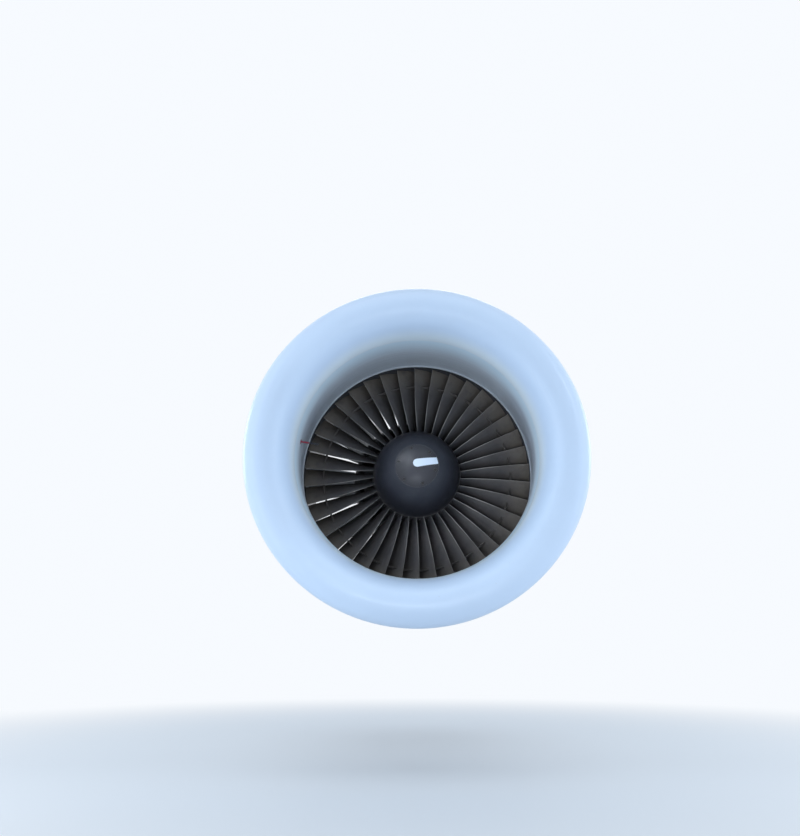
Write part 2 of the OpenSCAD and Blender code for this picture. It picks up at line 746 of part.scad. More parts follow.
// Case of the high pressure compressor, split lengthwise and flanged
function core_flange(r) = r + core_wall + 28;
module compressor_case() {
    cuts = [hpc_s, hpc_end];
    line = [for (s = cuts) [hpc_case_r(s), s]];
    bar = 14;
    color("tan") on_axis() union() {
        neck_wall(line, core_wall);
        ring(hpc_case_r(hpc_s) + 2, core_flange(hpc_case_r(hpc_s)), hpc_s, hpc_s + flange_t);
        ring(hpc_case_r(hpc_end) + 2, core_flange(hpc_case_r(hpc_end)), hpc_end - flange_t, hpc_end);
        for (a = [0, 180]) rotate([0, 0, a]) translate([0, bar / 2, 0]) rotate([90, 0, 0])
            linear_extrude(bar) polygon([
                for (p = line) [p[0] + core_wall - 2, p[1]],
                for (p = flip(line)) [p[0] + core_wall + 24, p[1]]
            ]);
    }
}

// Stator rows of the compressor, each in its own thin ring
module compressor_vanes() {
    half = 24;
    rim = 4;
    color("gray") on_axis() for (i = [0 : hpc_rows - 1])
        let (s = compressor_row(i) + hpc_step / 2, r = hpc_case_r(s + half)) union() {
            turned([
                [hpc_case_r(s - half) - rim, s - half], [hpc_case_r(s - half) - seat, s - half],
                [r - seat, s + half], [r - rim, s + half]
            ]);
            vane_row(compressor_blades, hpc_hub_r(s + half) + tip_gap, r - rim / 2, s, 34, 4, -3, -30);
        }
}

// Rings and levers that turn the first stator rows
lever_rows = 3;
module vane_levers() {
    lever = 44;
    rise = 34;
    color("goldenrod") on_axis() for (i = [0 : lever_rows - 1])
        let (s = compressor_row(i) + hpc_step / 2, r = hpc_case_r(s) + core_wall) union() {
            ring(r + rise, r + rise + 10, s + lever - 8, s + lever + 8);
            around(compressor_blades, 6) {
                translate([r + seat + 0.5, 0, s]) rotate([0, 90, 0]) cylinder(r = 6, h = rise + 4, $fn = 24);
                translate([r + rise - 6, -5, s - 6]) cube([7, 10, lever + 10]);
            }
        }
}

// Combustor case: diffuser, pressure wall and the rear bearing's cone
module combustor_case() {
    front_r = hpc_case_r(hpc_end);
    cone_s = hpc_end + 60;
    race_r = race_out_r(spool_journal_r) + seat;
    inner_r = hpc_hub_r(hpc_end) - 8;
    half = bearing_w / 2 + 4;
    color("tan") on_axis() difference() {
        union() {
            turned([
                [front_r, hpc_end], [front_r + core_wall, hpc_end], [burner_r + core_wall, cone_s],
                [burner_r + core_wall, burner_end], [burner_r, burner_end], [burner_r, cone_s]
            ]);
            ring(front_r + 2, core_flange(front_r), hpc_end, hpc_end + flange_t);
            ring(burner_r + 2, core_flange(burner_r), burner_end - flange_t, burner_end);
            around(8, 22.5) translate([inner_r - 6, -6, hpc_end + 8])
                cube([front_r - inner_r + 14, 12, 30]);
            turned([
                [inner_r - 8, hpc_end], [inner_r, hpc_end], [inner_r, hpc_end + 50],
                [race_r + 10, spool_rear_s - half], [race_r + 10, spool_rear_s + half],
                [race_r, spool_rear_s + half], [race_r, spool_rear_s - half], [inner_r - 8, hpc_end + 46]
            ]);
        }
        around(nozzle_count) translate([burner_r - 4, 0, nozzle_s]) rotate([0, 90, 0])
            cylinder(r = nozzle_boss_r + seat, h = core_wall + 8, $fn = 32);
        for (a = igniter_angles) rotate([0, 0, a]) translate([burner_r - 4, 0, igniter_s]) rotate([0, 90, 0])
            cylinder(r = igniter_r + seat, h = core_wall + 8, $fn = 32);
    }
}

// Radius of the circle of fuel nozzles, and the front of the liner
burner_mid_r = burner_r - 92;
liner_s = hpc_end + 150;
liner_end = burner_end - 6;

// Sheet liner of the annular combustor, with a swirler hole for each nozzle
module combustor_liner() {
    wall = 5;
    top = burner_r - 30;
    bottom = burner_mid_r - 62;
    color("peru") on_axis() difference() {
        turned([
            [bottom, liner_s], [top, liner_s], [top, liner_end - 50], [top + 14, liner_end],
            [top + 9, liner_end], [top - wall, liner_end - 50], [top - wall, liner_s + wall],
            [bottom + wall, liner_s + wall], [bottom + wall, liner_end - 50],
            [bottom + 48, liner_end], [bottom + 43, liner_end], [bottom, liner_end - 50]
        ]);
        around(nozzle_count) translate([burner_mid_r, 0, liner_s - 1])
            cylinder(r = nozzle_tip_r + seat, h = wall + 2, $fn = 48);
    }
}

// Fuel nozzles: boss on the case, stem and tip in the liner's dome
nozzle_s = hpc_end + 100;
nozzle_tip_r = 16;
nozzle_boss_r = 15;
module fuel_nozzles() {
    boss_r = burner_r + core_wall;
    color("silver") on_axis() around(nozzle_count) translate([0, 0, nozzle_s]) union() {
        translate([burner_mid_r, 0, 0]) rotate([0, 90, 0])
            cylinder(r = 9, h = boss_r + 18 - burner_mid_r, $fn = 32);
        translate([burner_r - 16, 0, 0]) rotate([0, 90, 0])
            cylinder(r = nozzle_boss_r, h = core_wall + 34, $fn = 32);
        translate([burner_mid_r, 0, -12]) cylinder(r = nozzle_tip_r, h = liner_s - nozzle_s + 16, $fn = 48);
    }
}

// Fuel ring round the nozzles, with a short feed to each
module fuel_manifold() {
    tube = 9;
    ring_r = burner_r + core_wall + 44;
    color("silver") on_axis() union() {
        translate([0, 0, nozzle_s]) rotate_extrude() translate([ring_r, 0]) circle(r = tube, $fn = 24);
        around(nozzle_count) translate([burner_r + core_wall + 18 + seat, 0, nozzle_s]) rotate([0, 90, 0])
            cylinder(r = 6, h = 26, $fn = 24);
    }
}

// Two spark plugs in the combustor case
igniter_angles = [54, 144];
igniter_s = liner_s + 60;
igniter_r = 12;
module igniters() {
    color("gray") on_axis() for (a = igniter_angles)
        rotate([0, 0, a]) translate([burner_r - 24, 0, igniter_s])
        rotate([0, 90, 0]) cylinder(r = igniter_r, h = 90, $fn = 32);
}

// First turbine nozzle, between the liner and the high pressure rotor
hpt_tip_r = burner_r - 22;
hpt_root_r = burner_r - 106;
module core_turbine_vanes() {
    nozzle_vanes = 22;
    color("peru") on_axis() union() {
        ring(hpt_tip_r, burner_r - seat, liner_end + seat, hpt_s - 50);
        ring(hpt_root_r - 9, hpt_root_r, liner_end + seat, hpt_s - 50);
        vane_row(nozzle_vanes, hpt_root_r - 4, hpt_tip_r + 4, liner_end + 36, 56, 9, -9, -38);
    }
}

// High pressure turbine disc with its blades
module core_turbine_rotor() {
    color("peru") on_axis() union() {
        ring(spool_bore_r + 4, spool_flange_r, spool_shaft_end, hpt_s + 40);
        ring(spool_flange_r - 1, hpt_root_r - 50, hpt_s - 14, hpt_s + 14);
        ring(hpt_root_r - 52, hpt_root_r, hpt_s - 28, hpt_s + 28);
        vane_row(turbine_blades, hpt_root_r - 4, hpt_tip_r - tip_gap, hpt_s, 44, 8, 8, 30);
    }
}

// Turbine case and drum radii at a station, and the stations of a rotor row
rim_wall = 10;
function lpt_case_r(s) = mix(burner_r, burner_r + 190, (s - lpt_s) / (lpt_end - lpt_s));
function lpt_hub_r(s) = mix(burner_r - 90, burner_r - 15, (s - lpt_s) / (lpt_end - lpt_s));
function lpt_row(i) = lpt_first + lpt_step * i;

// Turbine case: short drum over the high pressure rotor, then a cone
module lp_turbine_case() {
    color("rosybrown") on_axis() union() {
        turned([
            [burner_r, burner_end], [burner_r + core_wall, burner_end],
            [lpt_case_r(lpt_s) + core_wall, lpt_s],
            [lpt_case_r(lpt_end) + core_wall, lpt_end], [lpt_case_r(lpt_end), lpt_end],
            [lpt_case_r(lpt_s), lpt_s]
        ]);
        ring(burner_r + 2, core_flange(burner_r), burner_end, burner_end + flange_t);
        ring(lpt_case_r(lpt_end) - 2, core_flange(lpt_case_r(lpt_end)), lpt_end - flange_t, lpt_end);
        for (i = [0 : lpt_rows - 2]) let (s = lpt_row(i))
            ring(lpt_case_r(s) + core_wall / 2, lpt_case_r(s) + core_wall + 12, s, s + core_wall);
    }
}

// Stator rows of the low pressure turbine, hung from the case
module lp_turbine_vanes() {
    half = 30;
    color("rosybrown") on_axis() for (i = [0 : lpt_rows - 1])
        let (s = lpt_row(i) - lpt_step / 2, front_r = lpt_case_r(s - half), back_r = lpt_case_r(s + half))
        union() {
            turned([
                [front_r - rim_wall, s - half], [front_r - seat, s - half],
                [back_r - seat, s + half], [back_r - rim_wall, s + half]
            ]);
            vane_row(turbine_blades, lpt_hub_r(s + half) + tip_gap, front_r - rim_wall / 2,
                     s, 52, 7, -8, -34);
        }
}

// Low pressure turbine drum with its blade rows, carried by a cone on the shaft
module lp_turbine_rotor() {
    wall = 10;
    front = lpt_first - 30;
    back = lpt_row(lpt_rows - 1) + 30;
    hub_s = back - 60;
    color("rosybrown") on_axis() union() {
        turned([
            [lpt_hub_r(front) - wall, front], [lpt_hub_r(front), front],
            [lpt_hub_r(back), back], [lpt_hub_r(back) - wall, back]
        ]);
        for (i = [0 : lpt_rows - 1]) let (s = lpt_row(i)) {
            vane_row(turbine_blades, lpt_hub_r(s) - 6, lpt_case_r(s) - rim_wall - tip_gap, s, 50, 8, 8, 32);
            ring(lpt_hub_r(s) - 90, lpt_hub_r(s) - 6, s - 8, s + 8);
        }
        turned([
            [lp_shaft_r + seat, hub_s - 40], [lp_shaft_r + 20, hub_s - 40], [lp_shaft_r + 26, hub_s - 10],
            [lpt_hub_r(back) - 6, back - 14], [lpt_hub_r(back) - 6, back], [lp_shaft_r + 26, hub_s + 12],
            [lp_shaft_r + 20, hub_s + 40], [lp_shaft_r + seat, hub_s + 40]
        ]);
    }
}

// Three cooling rings round the turbine case, with stand-offs and a feed
module cooling_manifold() {
    tube = 12;
    lift = 28;
    rings = [for (i = [0 : lpt_rows - 2]) lpt_row(i) + lpt_step / 2];
    function line_r(s) = lpt_case_r(s) + core_wall + lift;
    run = rings[lpt_rows - 2] - rings[0];
    slope = atan((line_r(rings[lpt_rows - 2]) - line_r(rings[0])) / run);
    color("silver") on_axis() union() {
        for (s = rings) {
            translate([0, 0, s]) rotate_extrude() translate([line_r(s), 0]) circle(r = tube, $fn = 24);
            around(4, 45) translate([line_r(s) - lift + 1.5, 0, s]) rotate([0, 90, 0])
                cylinder(r = 4, h = lift, $fn = 24);
        }
        translate([line_r(rings[0]), 0, rings[0]]) rotate([0, slope, 0])
            cylinder(r = tube + 4, h = run / cos(slope), $fn = 32);
    }
}

// Turbine rear frame: rings, struts, bearing web and the aft mount's lugs
rear_struts = 12;
lug_gap = 40;
lug_t = 24;
lug_lift = 56;
module rear_frame() {
    out_r = lpt_case_r(lpt_end);
    in_r = lpt_hub_r(lpt_end);
    race_r = race_out_r(lp_journal_r) + seat;
    half = bearing_w / 2 + 4;
    mid_s = (lpt_end + rear_end) / 2;
    lug_r = out_r + core_wall + lug_lift;
    color("rosybrown") on_axis() difference() {
        union() {
            ring(out_r, out_r + core_wall, lpt_end, rear_end);
            for (s = [lpt_end, rear_end - flange_t])
                ring(out_r + core_wall - 1, core_flange(out_r), s, s + flange_t);
            ring(in_r - core_wall, in_r, lpt_end, rear_end);
            around(rear_struts) translate([in_r - 4, 0, mid_s]) rotate([0, 90, 0])
                linear_extrude(out_r - in_r + 8) polygon(lens(170, 36));
            ring(race_r, race_r + 10, rear_bearing_s - half, rear_bearing_s + half);
            ring(race_r + 5, in_r - 5, rear_bearing_s - 5, rear_bearing_s + 5);
            for (side = [-1, 1]) translate([side * (lug_gap + lug_t) / 2 - lug_t / 2, -lug_r, mid_s]) {
                rotate([0, 90, 0]) cylinder(r = 2 * aft_bore_r, h = lug_t);
                translate([0, 0, -2 * aft_bore_r]) cube([lug_t, lug_lift + 4, 4 * aft_bore_r]);
            }
        }
        translate([-lug_gap / 2 - lug_t - 1, -lug_r, mid_s]) rotate([0, 90, 0])
            cylinder(r = aft_bore_r, h = lug_gap + 2 * lug_t + 2);
    }
}

// Primary exhaust nozzle, a converging sheet cone
module exhaust_nozzle() {
    wall = 5;
    r = lpt_case_r(lpt_end);
    exit_r = r * 0.76;
    color("saddlebrown") on_axis() union() {
        neck_wall([for (i = [0 : 8]) [mix(r, exit_r, neck(i / 8)), mix(rear_end, nozzle_end, i / 8)]], wall);
        ring(r + 2, core_flange(r), rear_end, rear_end + flange_t);
    }
}

// Exhaust plug, a closed sheet cone on the rear frame's hub
module exhaust_plug() {
    wall = 5;
    r = lpt_hub_r(lpt_end);
    steps = 10;
    function along(u) = sin(90 * u) * 0.5 + u * 0.5;
    line = [for (i = [0 : steps]) [r * cos(82 * i / steps), mix(rear_end, plug_end, along(i / steps))]];
    color("saddlebrown") on_axis() union() {
        turned(concat(
            line, [[0, plug_end], [0, plug_end - 2 * wall]],
            [for (i = [steps - 1 : -1 : 0]) [line[i][0] - wall, line[i][1]]]
        ));
        ring(r - 3 * core_wall, r - wall / 2, rear_end, rear_end + wall);
    }
}

// Radial drive shaft with its bevel pinion above and its miter gear below
module drive_shaft() {
    hub = 6;
    color("silver") on_axis() translate([0, 0, bevel_s]) union() {
        translate([0, spool_bevel_r, 0]) rotate([90, 0, 0]) rotate([0, 0, -90])
            bevel_gear(pinion_teeth, pinion_r, spool_bevel_r, bevel_face, 0);
        translate([0, spool_bevel_r * (1 - bevel_face) + 1, 0]) rotate([-90, 0, 0])
            cylinder(r = drive_shaft_r,
                     h = gear_arc_r - miter_r * (1 - miter_face) - spool_bevel_r * (1 - bevel_face) - 2);
        translate([0, spool_bevel_r - 1, 0]) rotate([-90, 0, 0]) cylinder(r = drive_shaft_r + 10, h = hub);
        translate([0, gear_arc_r - miter_r - hub, 0]) rotate([-90, 0, 0])
            cylinder(r = drive_shaft_r + 10, h = hub + 1);
        translate([0, gear_arc_r - miter_r, 0]) rotate([-90, 0, 0]) rotate([0, 0, 90])
            bevel_gear(miter_teeth, miter_r, miter_r, miter_face, 0);
    }
}

// Gear train: teeth, neighbour and side of each gear, the drive gear first
gear_teeth = [32, 30, 26, 28, 24];
gear_from = [0, 0, 1, 0, 3];
gear_side = [0, 1, 1, -1, -1];
gear_s = bevel_s + 58;
gear_slack = 0.18;
function pitch_r(i) = gear_module * gear_teeth[i] / 2;
function step_a(i) = 2 * asin((pitch_r(i) + pitch_r(gear_from[i])) / 2 / gear_arc_r);
function gear_a(i) = i == 0 ? 90 : gear_a(gear_from[i]) + gear_side[i] * step_a(i);
function gear_at(i) = [gear_arc_r * cos(gear_a(i)), gear_arc_r * sin(gear_a(i))];

// Turn of a gear that puts its gaps on its neighbour's teeth
function line_a(i) = let (d = gear_at(i) - gear_at(gear_from[i])) atan2(d[1], d[0]);
function gear_turn(i) = i == 0 ? 0 : let (j = gear_from[i], f = line_a(i))
    f + 180 - 360 / gear_teeth[i] * ((gear_turn(j) - f) * gear_teeth[j] / 360 + 0.5);

// Half of a tooth's angle at radius r, for pressure angle 20
function roll(a) = tan(a) * 180 / PI - a;
function tooth_half(n, r) = let (pitch = gear_module * n / 2, base = pitch * cos(20))
    90 / n - gear_slack / pitch * 180 / PI + roll(20) - roll(acos(min(1, base / r)));

// Outline of an involute spur gear
function gear_outline(n) =
    let (pitch = gear_module * n / 2, base = pitch * cos(20), root = pitch - 1.25 * gear_module)
    let (tip = pitch + gear_module * 0.95, first = max(base, root))
    let (flank = [for (k = [0 : 3]) mix(first, tip, k / 3)])
    [for (i = [0 : n - 1]) let (a = 360 * i / n) each concat(
        [[root * cos(a - tooth_half(n, first)), root * sin(a - tooth_half(n, first))]],
        [for (r = flank) let (h = tooth_half(n, r)) [r * cos(a - h), r * sin(a - h)]],
        [for (r = flip(flank)) let (h = tooth_half(n, r)) [r * cos(a + h), r * sin(a + h)]],
        [[root * cos(a + tooth_half(n, first)), root * sin(a + tooth_half(n, first))]]
    )];

// Casting of the gearbox, an arc under the fan frame
box_half_h = 100;
box_s = bevel_s - 75;
box_end = box_s + 180;
box_a = [gear_a(4) - 4.2, gear_a(2) + 4.2];
shaft_reach = 24;

// Spur gear on its shaft; side is -1 for an accessory in front, 1 for one behind
module spur_gear(i, side) {
    n = gear_teeth[i];
    front = side < 0 ? box_s - shaft_reach : box_s + 1;
    back = side > 0 ? box_end + shaft_reach : box_end - 1;
    at = gear_at(i);
    translate([at[0], at[1], 0]) {
        translate([0, 0, gear_s]) rotate([0, 0, gear_turn(i)])
            linear_extrude(gear_face) polygon(gear_outline(n));
        translate([0, 0, front]) cylinder(r = gear_shaft_r, h = back - front);
    }
}
module drive_gear() {
    color("silver") on_axis() union() {
        spur_gear(0, 1);
        translate([0, gear_arc_r, bevel_s - miter_r])
            bevel_gear(miter_teeth, miter_r, miter_r, miter_face, -90 + 180 / miter_teeth);
    }
}
module starter_gear() color("silver") on_axis() spur_gear(1, -1);
module fuel_gear() color("silver") on_axis() spur_gear(2, 1);
module generator_gear() color("silver") on_axis() spur_gear(3, -1);
module hydraulic_gear() color("silver") on_axis() spur_gear(4, 1);

// Block bent to the engine's axis, between two angles
module arc_block(a, b, r0, r1, s0, s1) {
    rotate([0, 0, a]) rotate_extrude(angle = b - a) polygon([[r0, s0], [r1, s0], [r1, s1], [r0, s1]]);
}
module gearbox_case() {
    low = gear_arc_r - box_half_h;
    high = gear_arc_r + box_half_h;
    pad_r = case_r + frame_wall + seat;
    wall_a = box_wall / gear_arc_r * 180 / PI;
    pad_a = 10;
    color("gray") on_axis() difference() {
        union() {
            arc_block(box_a[0], box_a[1], low, high, box_s, box_end);
            for (a = [90 - pad_a, 90 + pad_a])
                arc_block(a - 1.2, a + 1.2, pad_r, low + 2, bevel_s - 30, bevel_s + 30);
            translate([0, pad_r + 2, bevel_s]) rotate([-90, 0, 0])
                cylinder(r = drive_hole_r + 10, h = low - pad_r);
        }
        arc_block(box_a[0] + wall_a, box_a[1] - wall_a, low + box_wall, high - box_wall,
                  box_s + box_wall, box_end - box_wall);
        translate([0, case_r, bevel_s]) rotate([-90, 0, 0])
            cylinder(r = drive_shaft_r + run_gap, h = low + box_wall + 1 - case_r);
        for (i = [0 : 4]) translate([gear_at(i)[0], gear_at(i)[1], box_s - 1])
            cylinder(r = gear_shaft_r + run_gap, h = box_end - box_s + 2);
    }
}

// Accessory body turned about its shaft: flange, barrel, step and end cap, with a socket
module accessory(i, side, points, socket) {
    at = gear_at(i);
    face_s = side < 0 ? box_s : box_end;
    translate([at[0], at[1], face_s]) mirror([0, 0, side < 0 ? 1 : 0]) difference() {
        turned(points);
        translate([0, 0, -1]) cylinder(r = gear_shaft_r + 2, h = socket + 1);
    }
}

// Air turbine starter with its air inlet elbow flange
module starter() {
    color("lightgray") on_axis() {
        accessory(1, -1, [
            [0, 0], [78, 0], [78, 12], [60, 20], [60, 60], [92, 84], [92, 150], [70, 176],
            [46, 190], [46, 226], [60, 226], [60, 238], [0, 238]
        ], shaft_reach + 8);
    }
}

// Generator with a finned barrel
module generator() {
    color("silver") on_axis() accessory(3, -1, concat(
        [[0, 0], [76, 0], [76, 12], [64, 20]],
        [for (k = [0 : 7], p = [[84, 0], [84, 8], [76, 8], [76, 16]]) [p[0], 28 + 18 * k + p[1]]],
        [[70, 180], [40, 196], [0, 196]]
    ), shaft_reach + 8);
}

// Fuel pump: stacked round stages with an inlet stub
fuel_stub_r = 26;
module fuel_pump() {
    at = gear_at(2);
    color("gray") on_axis() union() {
        accessory(2, 1, [
            [0, 0], [62, 0], [62, 12], [50, 18], [50, 60], [58, 66], [58, 120], [40, 132], [40, 160], [0, 160]
        ], shaft_reach + 8);
        translate([at[0] - 40, at[1], box_end + 94]) rotate([0, -90, 0]) {
            cylinder(r = fuel_stub_r, h = 60);
            translate([0, 0, 50]) cylinder(r = fuel_stub_r + 14, h = 12);
        }
    }
}

// Oil pump behind the drive gear
module oil_pump() {
    color("gray") on_axis() accessory(0, 1, [
        [0, 0], [60, 0], [60, 12], [48, 18], [48, 44], [56, 50], [56, 84], [34, 96], [0, 96]
    ], shaft_reach + 8);
}

// Hydraulic pump with a stepped body
module hydraulic_pump() {
    color("slategray") on_axis() accessory(4, 1, [
        [0, 0], [58, 0], [58, 12], [44, 20], [44, 90], [54, 96], [54, 130], [30, 150], [0, 150]
    ], shaft_reach + 8);
}

// Stations of the feet, between the fan case's ribs
feet_stations = [case_length * 0.4, case_length * 0.6];

// Feet that stand on the fan case, cut to its curve, for a piece at angle a
module case_feet(a, spread_y, stations, lift) {
    rotate([0, 0, a]) difference() {
        for (y = [-spread_y, spread_y], s = stations) translate([case_out_r - 40, y - 12, s - 12])
            cube([lift + 44, 24, 24]);
        translate([0, 0, -1]) cylinder(r = case_out_r + seat, h = case_length + 2, $fn = 240);
    }
}

// Oil tank on the left of the fan case: a barrel with domed ends and a filler
tank_r = 82;
tank_lift = 46;
tank_length = 380;
module oil_tank() {
    a = 200;
    mid = case_out_r + tank_lift + tank_r;
    color("silver") on_axis() union() {
        rotate([0, 0, a]) translate([mid, 0, case_length * 0.5]) rotate([90, 0, 0]) {
            translate([0, 0, -tank_length / 2]) turned([
                [0, -40], [tank_r * 0.6, -30], [tank_r, 0],
                [tank_r, tank_length], [tank_r * 0.6, tank_length + 30], [0, tank_length + 40]
            ]);
        }
        rotate([0, 0, a]) translate([mid, 120, case_length * 0.5]) rotate([0, 90, 0])
            cylinder(r = 26, h = tank_r + 24);
        case_feet(a, 90, feet_stations, tank_lift + 40);
    }
}

// Box with cooling ribs, standing on the fan case
module finned_box(a, size_y, size_s, depth, lift, fins) {
    mid_s = case_length * 0.5;
    union() {
        rotate([0, 0, a]) translate([case_out_r + lift, -size_y / 2, mid_s - size_s / 2]) {
            cube([depth, size_y, size_s]);
            for (k = [0 : fins - 1]) translate([depth - 1, 12 + k * (size_y - 24) / (fins - 1) - 3, 10])
                cube([13, 6, size_s - 20]);
        }
        case_feet(a, size_y / 2 - 20, feet_stations, lift);
    }
}
module control_unit() {
    color("dimgray") on_axis() finned_box(335, 380, 300, 90, 70, 12);
}
module heat_exchanger() {
    color("lightgray") on_axis() finned_box(30, 300, 220, 110, 66, 16);
}

// Point at radius r and angle a round the axis, at station s
function polar(r, a, s) = [r * cos(a), r * sin(a), s];

// Round tube along a list of points
function unit(v) = v / norm(v);
module tube(path, r) {
    sides = 8;
    last = len(path) - 1;
    function along(i) = unit(path[min(i + 1, last)] - path[max(i - 1, 0)]);
    function across(i) = unit(cross(along(i), abs(along(i)[2]) > 0.9 ? [1, 0, 0] : [0, 0, 1]));
    points = [for (i = [0 : last], k = [0 : sides - 1]) let (a = 360 * k / sides)
        path[i] + r * (cos(a) * across(i) + sin(a) * cross(along(i), across(i)))];
    walls = [for (i = [0 : last - 1], k = [0 : sides - 1])
        let (a = i * sides + k, b = i * sides + (k + 1) % sides)
        each [[a, b, b + sides], [a, b + sides, a + sides]]];
    front = [for (k = [1 : sides - 2]) [0, k + 1, k]];
    back = [for (k = [1 : sides - 2]) [0, k, k + 1] + [1, 1, 1] * last * sides];
    polyhedron(points, concat(walls, front, back));
}

// Pipes outside the cases: fuel feed, two bleed ducts, oil line and wiring loom
bleed_r = 32;
bleed_s = hpc_end - 100;
module pipes() {
    pump = gear_at(2);
    case_at = hpc_case_r(bleed_s) + core_wall + 4;
    manifold_r = burner_r + core_wall + 44 + 9 + seat;
    loom_a = 335;
    mid_s = case_length / 2;
    run_r = case_out_r + 64;
    plug_s = frame_end + 450;
    color("silver") on_axis() {
        tube([
            [pump[0], pump[1] - 58 - seat, box_end + 94], [pump[0], pump[1] - 110, box_end + 96],
            polar(case_r + 20, 103, frame_end + 90), polar(case_r - 60, 103, frame_end + 140),
            polar(800, 105, frame_end + 300), polar(640, 107, frame_end + 460),
            polar(560, 109, nozzle_s - 120), polar(530, 110, nozzle_s - 40), polar(510, 110, nozzle_s - 4),
            polar(manifold_r, 110, nozzle_s)
        ], 11);
        for (a = [30, 150]) tube([
            polar(case_at, a, bleed_s), polar(440, a, bleed_s),
            polar(500, a, bleed_s - 20), polar(560, a, bleed_s - 80),
            polar(596, a, bleed_s - 180), polar(600, a, frame_end + 200), polar(600, a, frame_end + seat)
        ], bleed_r);
        tube([
            polar(case_out_r + tank_lift + tank_r, 188.9, mid_s), polar(run_r + 52, 186, mid_s + 20),
            polar(run_r + 10, 181, mid_s + 130),
            for (a = [172 : -12 : 124]) polar(run_r, a, frame_s - 100),
            polar(run_r + 20, 117, frame_s - 20), polar(gear_arc_r - 10, 112.5, box_s + 25),
            polar(gear_arc_r, box_a[1] + 2.6, box_s + 85), polar(gear_arc_r, box_a[1] + 0.03, box_s + 85)
        ], 12);
        tube([
            polar(run_r + 50, loom_a, mid_s + 150 + seat), polar(run_r + 50, loom_a, mid_s + 200),
            polar(run_r + 10, loom_a + 3, mid_s + 290), polar(run_r + 4, loom_a + 10, frame_s + 60),
            polar(run_r + 4, loom_a + 14, frame_end - 40), polar(case_r + 50, loom_a + 16, frame_end + 40),
            polar(case_r - 100, loom_a + 20, frame_end + 90), polar(700, loom_a + 26, frame_end + 220),
            polar(480, loom_a + 30, frame_end + 380), polar(420, loom_a + 33, plug_s - 10),
            polar(390, loom_a + 33, plug_s), polar(hpc_case_r(plug_s) + core_wall + 2, loom_a + 33, plug_s)
        ], 10);
    }
}

// Forward mount: saddle on the fan frame, three ribs and a drilled top plate
module front_mount() {
    plate = 30;
    half_x = mount_hole_x / 2 + 50;
    half_s = mount_hole_y / 2 + 40;
    saddle_r = case_r + frame_wall;
    rib = 24;
    color("steelblue") on_axis() difference() {
        union() {
            translate([-half_x, -mount_height, mount_aft - half_s]) cube([2 * half_x, plate, 2 * half_s]);
            translate([-half_x, -saddle_r - 30, mount_aft - half_s]) cube([2 * half_x, 60, 2 * half_s]);
            for (x = [-half_x, -rib / 2, half_x - rib])
                translate([x, -mount_height + plate - 1, mount_aft - half_s])
                cube([rib, mount_height - saddle_r - plate - 26, 2 * half_s]);
        }
        translate([0, 0, mount_aft - 2 * half_s]) cylinder(r = saddle_r + seat, h = 4 * half_s, $fn = 240);
        for (x = [-1, 1], s = [-1, 1])
            translate([x * mount_hole_x / 2, -mount_height - 1, mount_aft + s * mount_hole_y / 2])
            rotate([-90, 0, 0]) cylinder(r = mount_hole_r, h = plate + 2);
    }
}

// Ring of hexagon heads at radius r, standing on station s and reaching to side
module bolt_ring(count, r, s, side) {
    around(count, 180 / count) translate([r, 0, side > 0 ? s : s - head_h])
        cylinder(r = head_af / 2 / cos(30), h = head_h, $fn = 6);
}
module case_bolts() {
    case_bolt_r = (case_out_r + case_flange_r) / 2 + 2;
    rear_bolt_r = lpt_case_r(lpt_end) + core_wall + 15;
    color("silver") on_axis() {
        bolt_ring(24, (duct_front_r + duct_wall + joint_r) / 2, duct_s + flange_t, 1);
        bolt_ring(36, case_bolt_r, -flange_t, -1);
        bolt_ring(36, case_bolt_r, frame_s + flange_t, 1);
        bolt_ring(24, rear_bolt_r, lpt_end - flange_t, -1);
        bolt_ring(24, rear_bolt_r, rear_end + flange_t, 1);
    }
}

bellmouth();
bellmouth_braces();
inlet_duct();
inlet_probe();
fan_case();
rub_strip();
outlet_vanes();
fan_frame();
splitter();
spinner();
spinner_cap();
spinner_bolts();
fan_blades();
fan_disc();
fan_shaft();
booster_spool();
booster_case();
bearing_support();
fan_bearing();
thrust_bearing();
core_front_bearing();
core_rear_bearing();
rear_bearing();
lp_shaft();
core_spool();
compressor_case();
compressor_vanes();
vane_levers();
combustor_case();
combustor_liner();
fuel_nozzles();
fuel_manifold();
igniters();
core_turbine_vanes();
core_turbine_rotor();
lp_turbine_case();
lp_turbine_vanes();
lp_turbine_rotor();
cooling_manifold();
rear_frame();
exhaust_nozzle();
exhaust_plug();
drive_shaft();
gearbox_case();
drive_gear();
starter_gear();
fuel_gear();
generator_gear();
hydraulic_gear();
starter();
fuel_pump();
oil_pump();
generator();
hydraulic_pump();
oil_tank();
control_unit();
heat_exchanger();
pipes();
front_mount();
case_bolts();
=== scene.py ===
"""Turbofan engine with its bellmouth intake, dressed over its CAD solids.

The scene is in metres, and the engine axis runs along +Y, from the intake to the nozzle.
Radii and stations are in millimetres, the stations behind the front flange of the fan case.
Angles are seen from the front, anticlockwise from the right.
"""

import json
import math
from collections import namedtuple

import bmesh
import bpy
from mathutils import Matrix, Vector


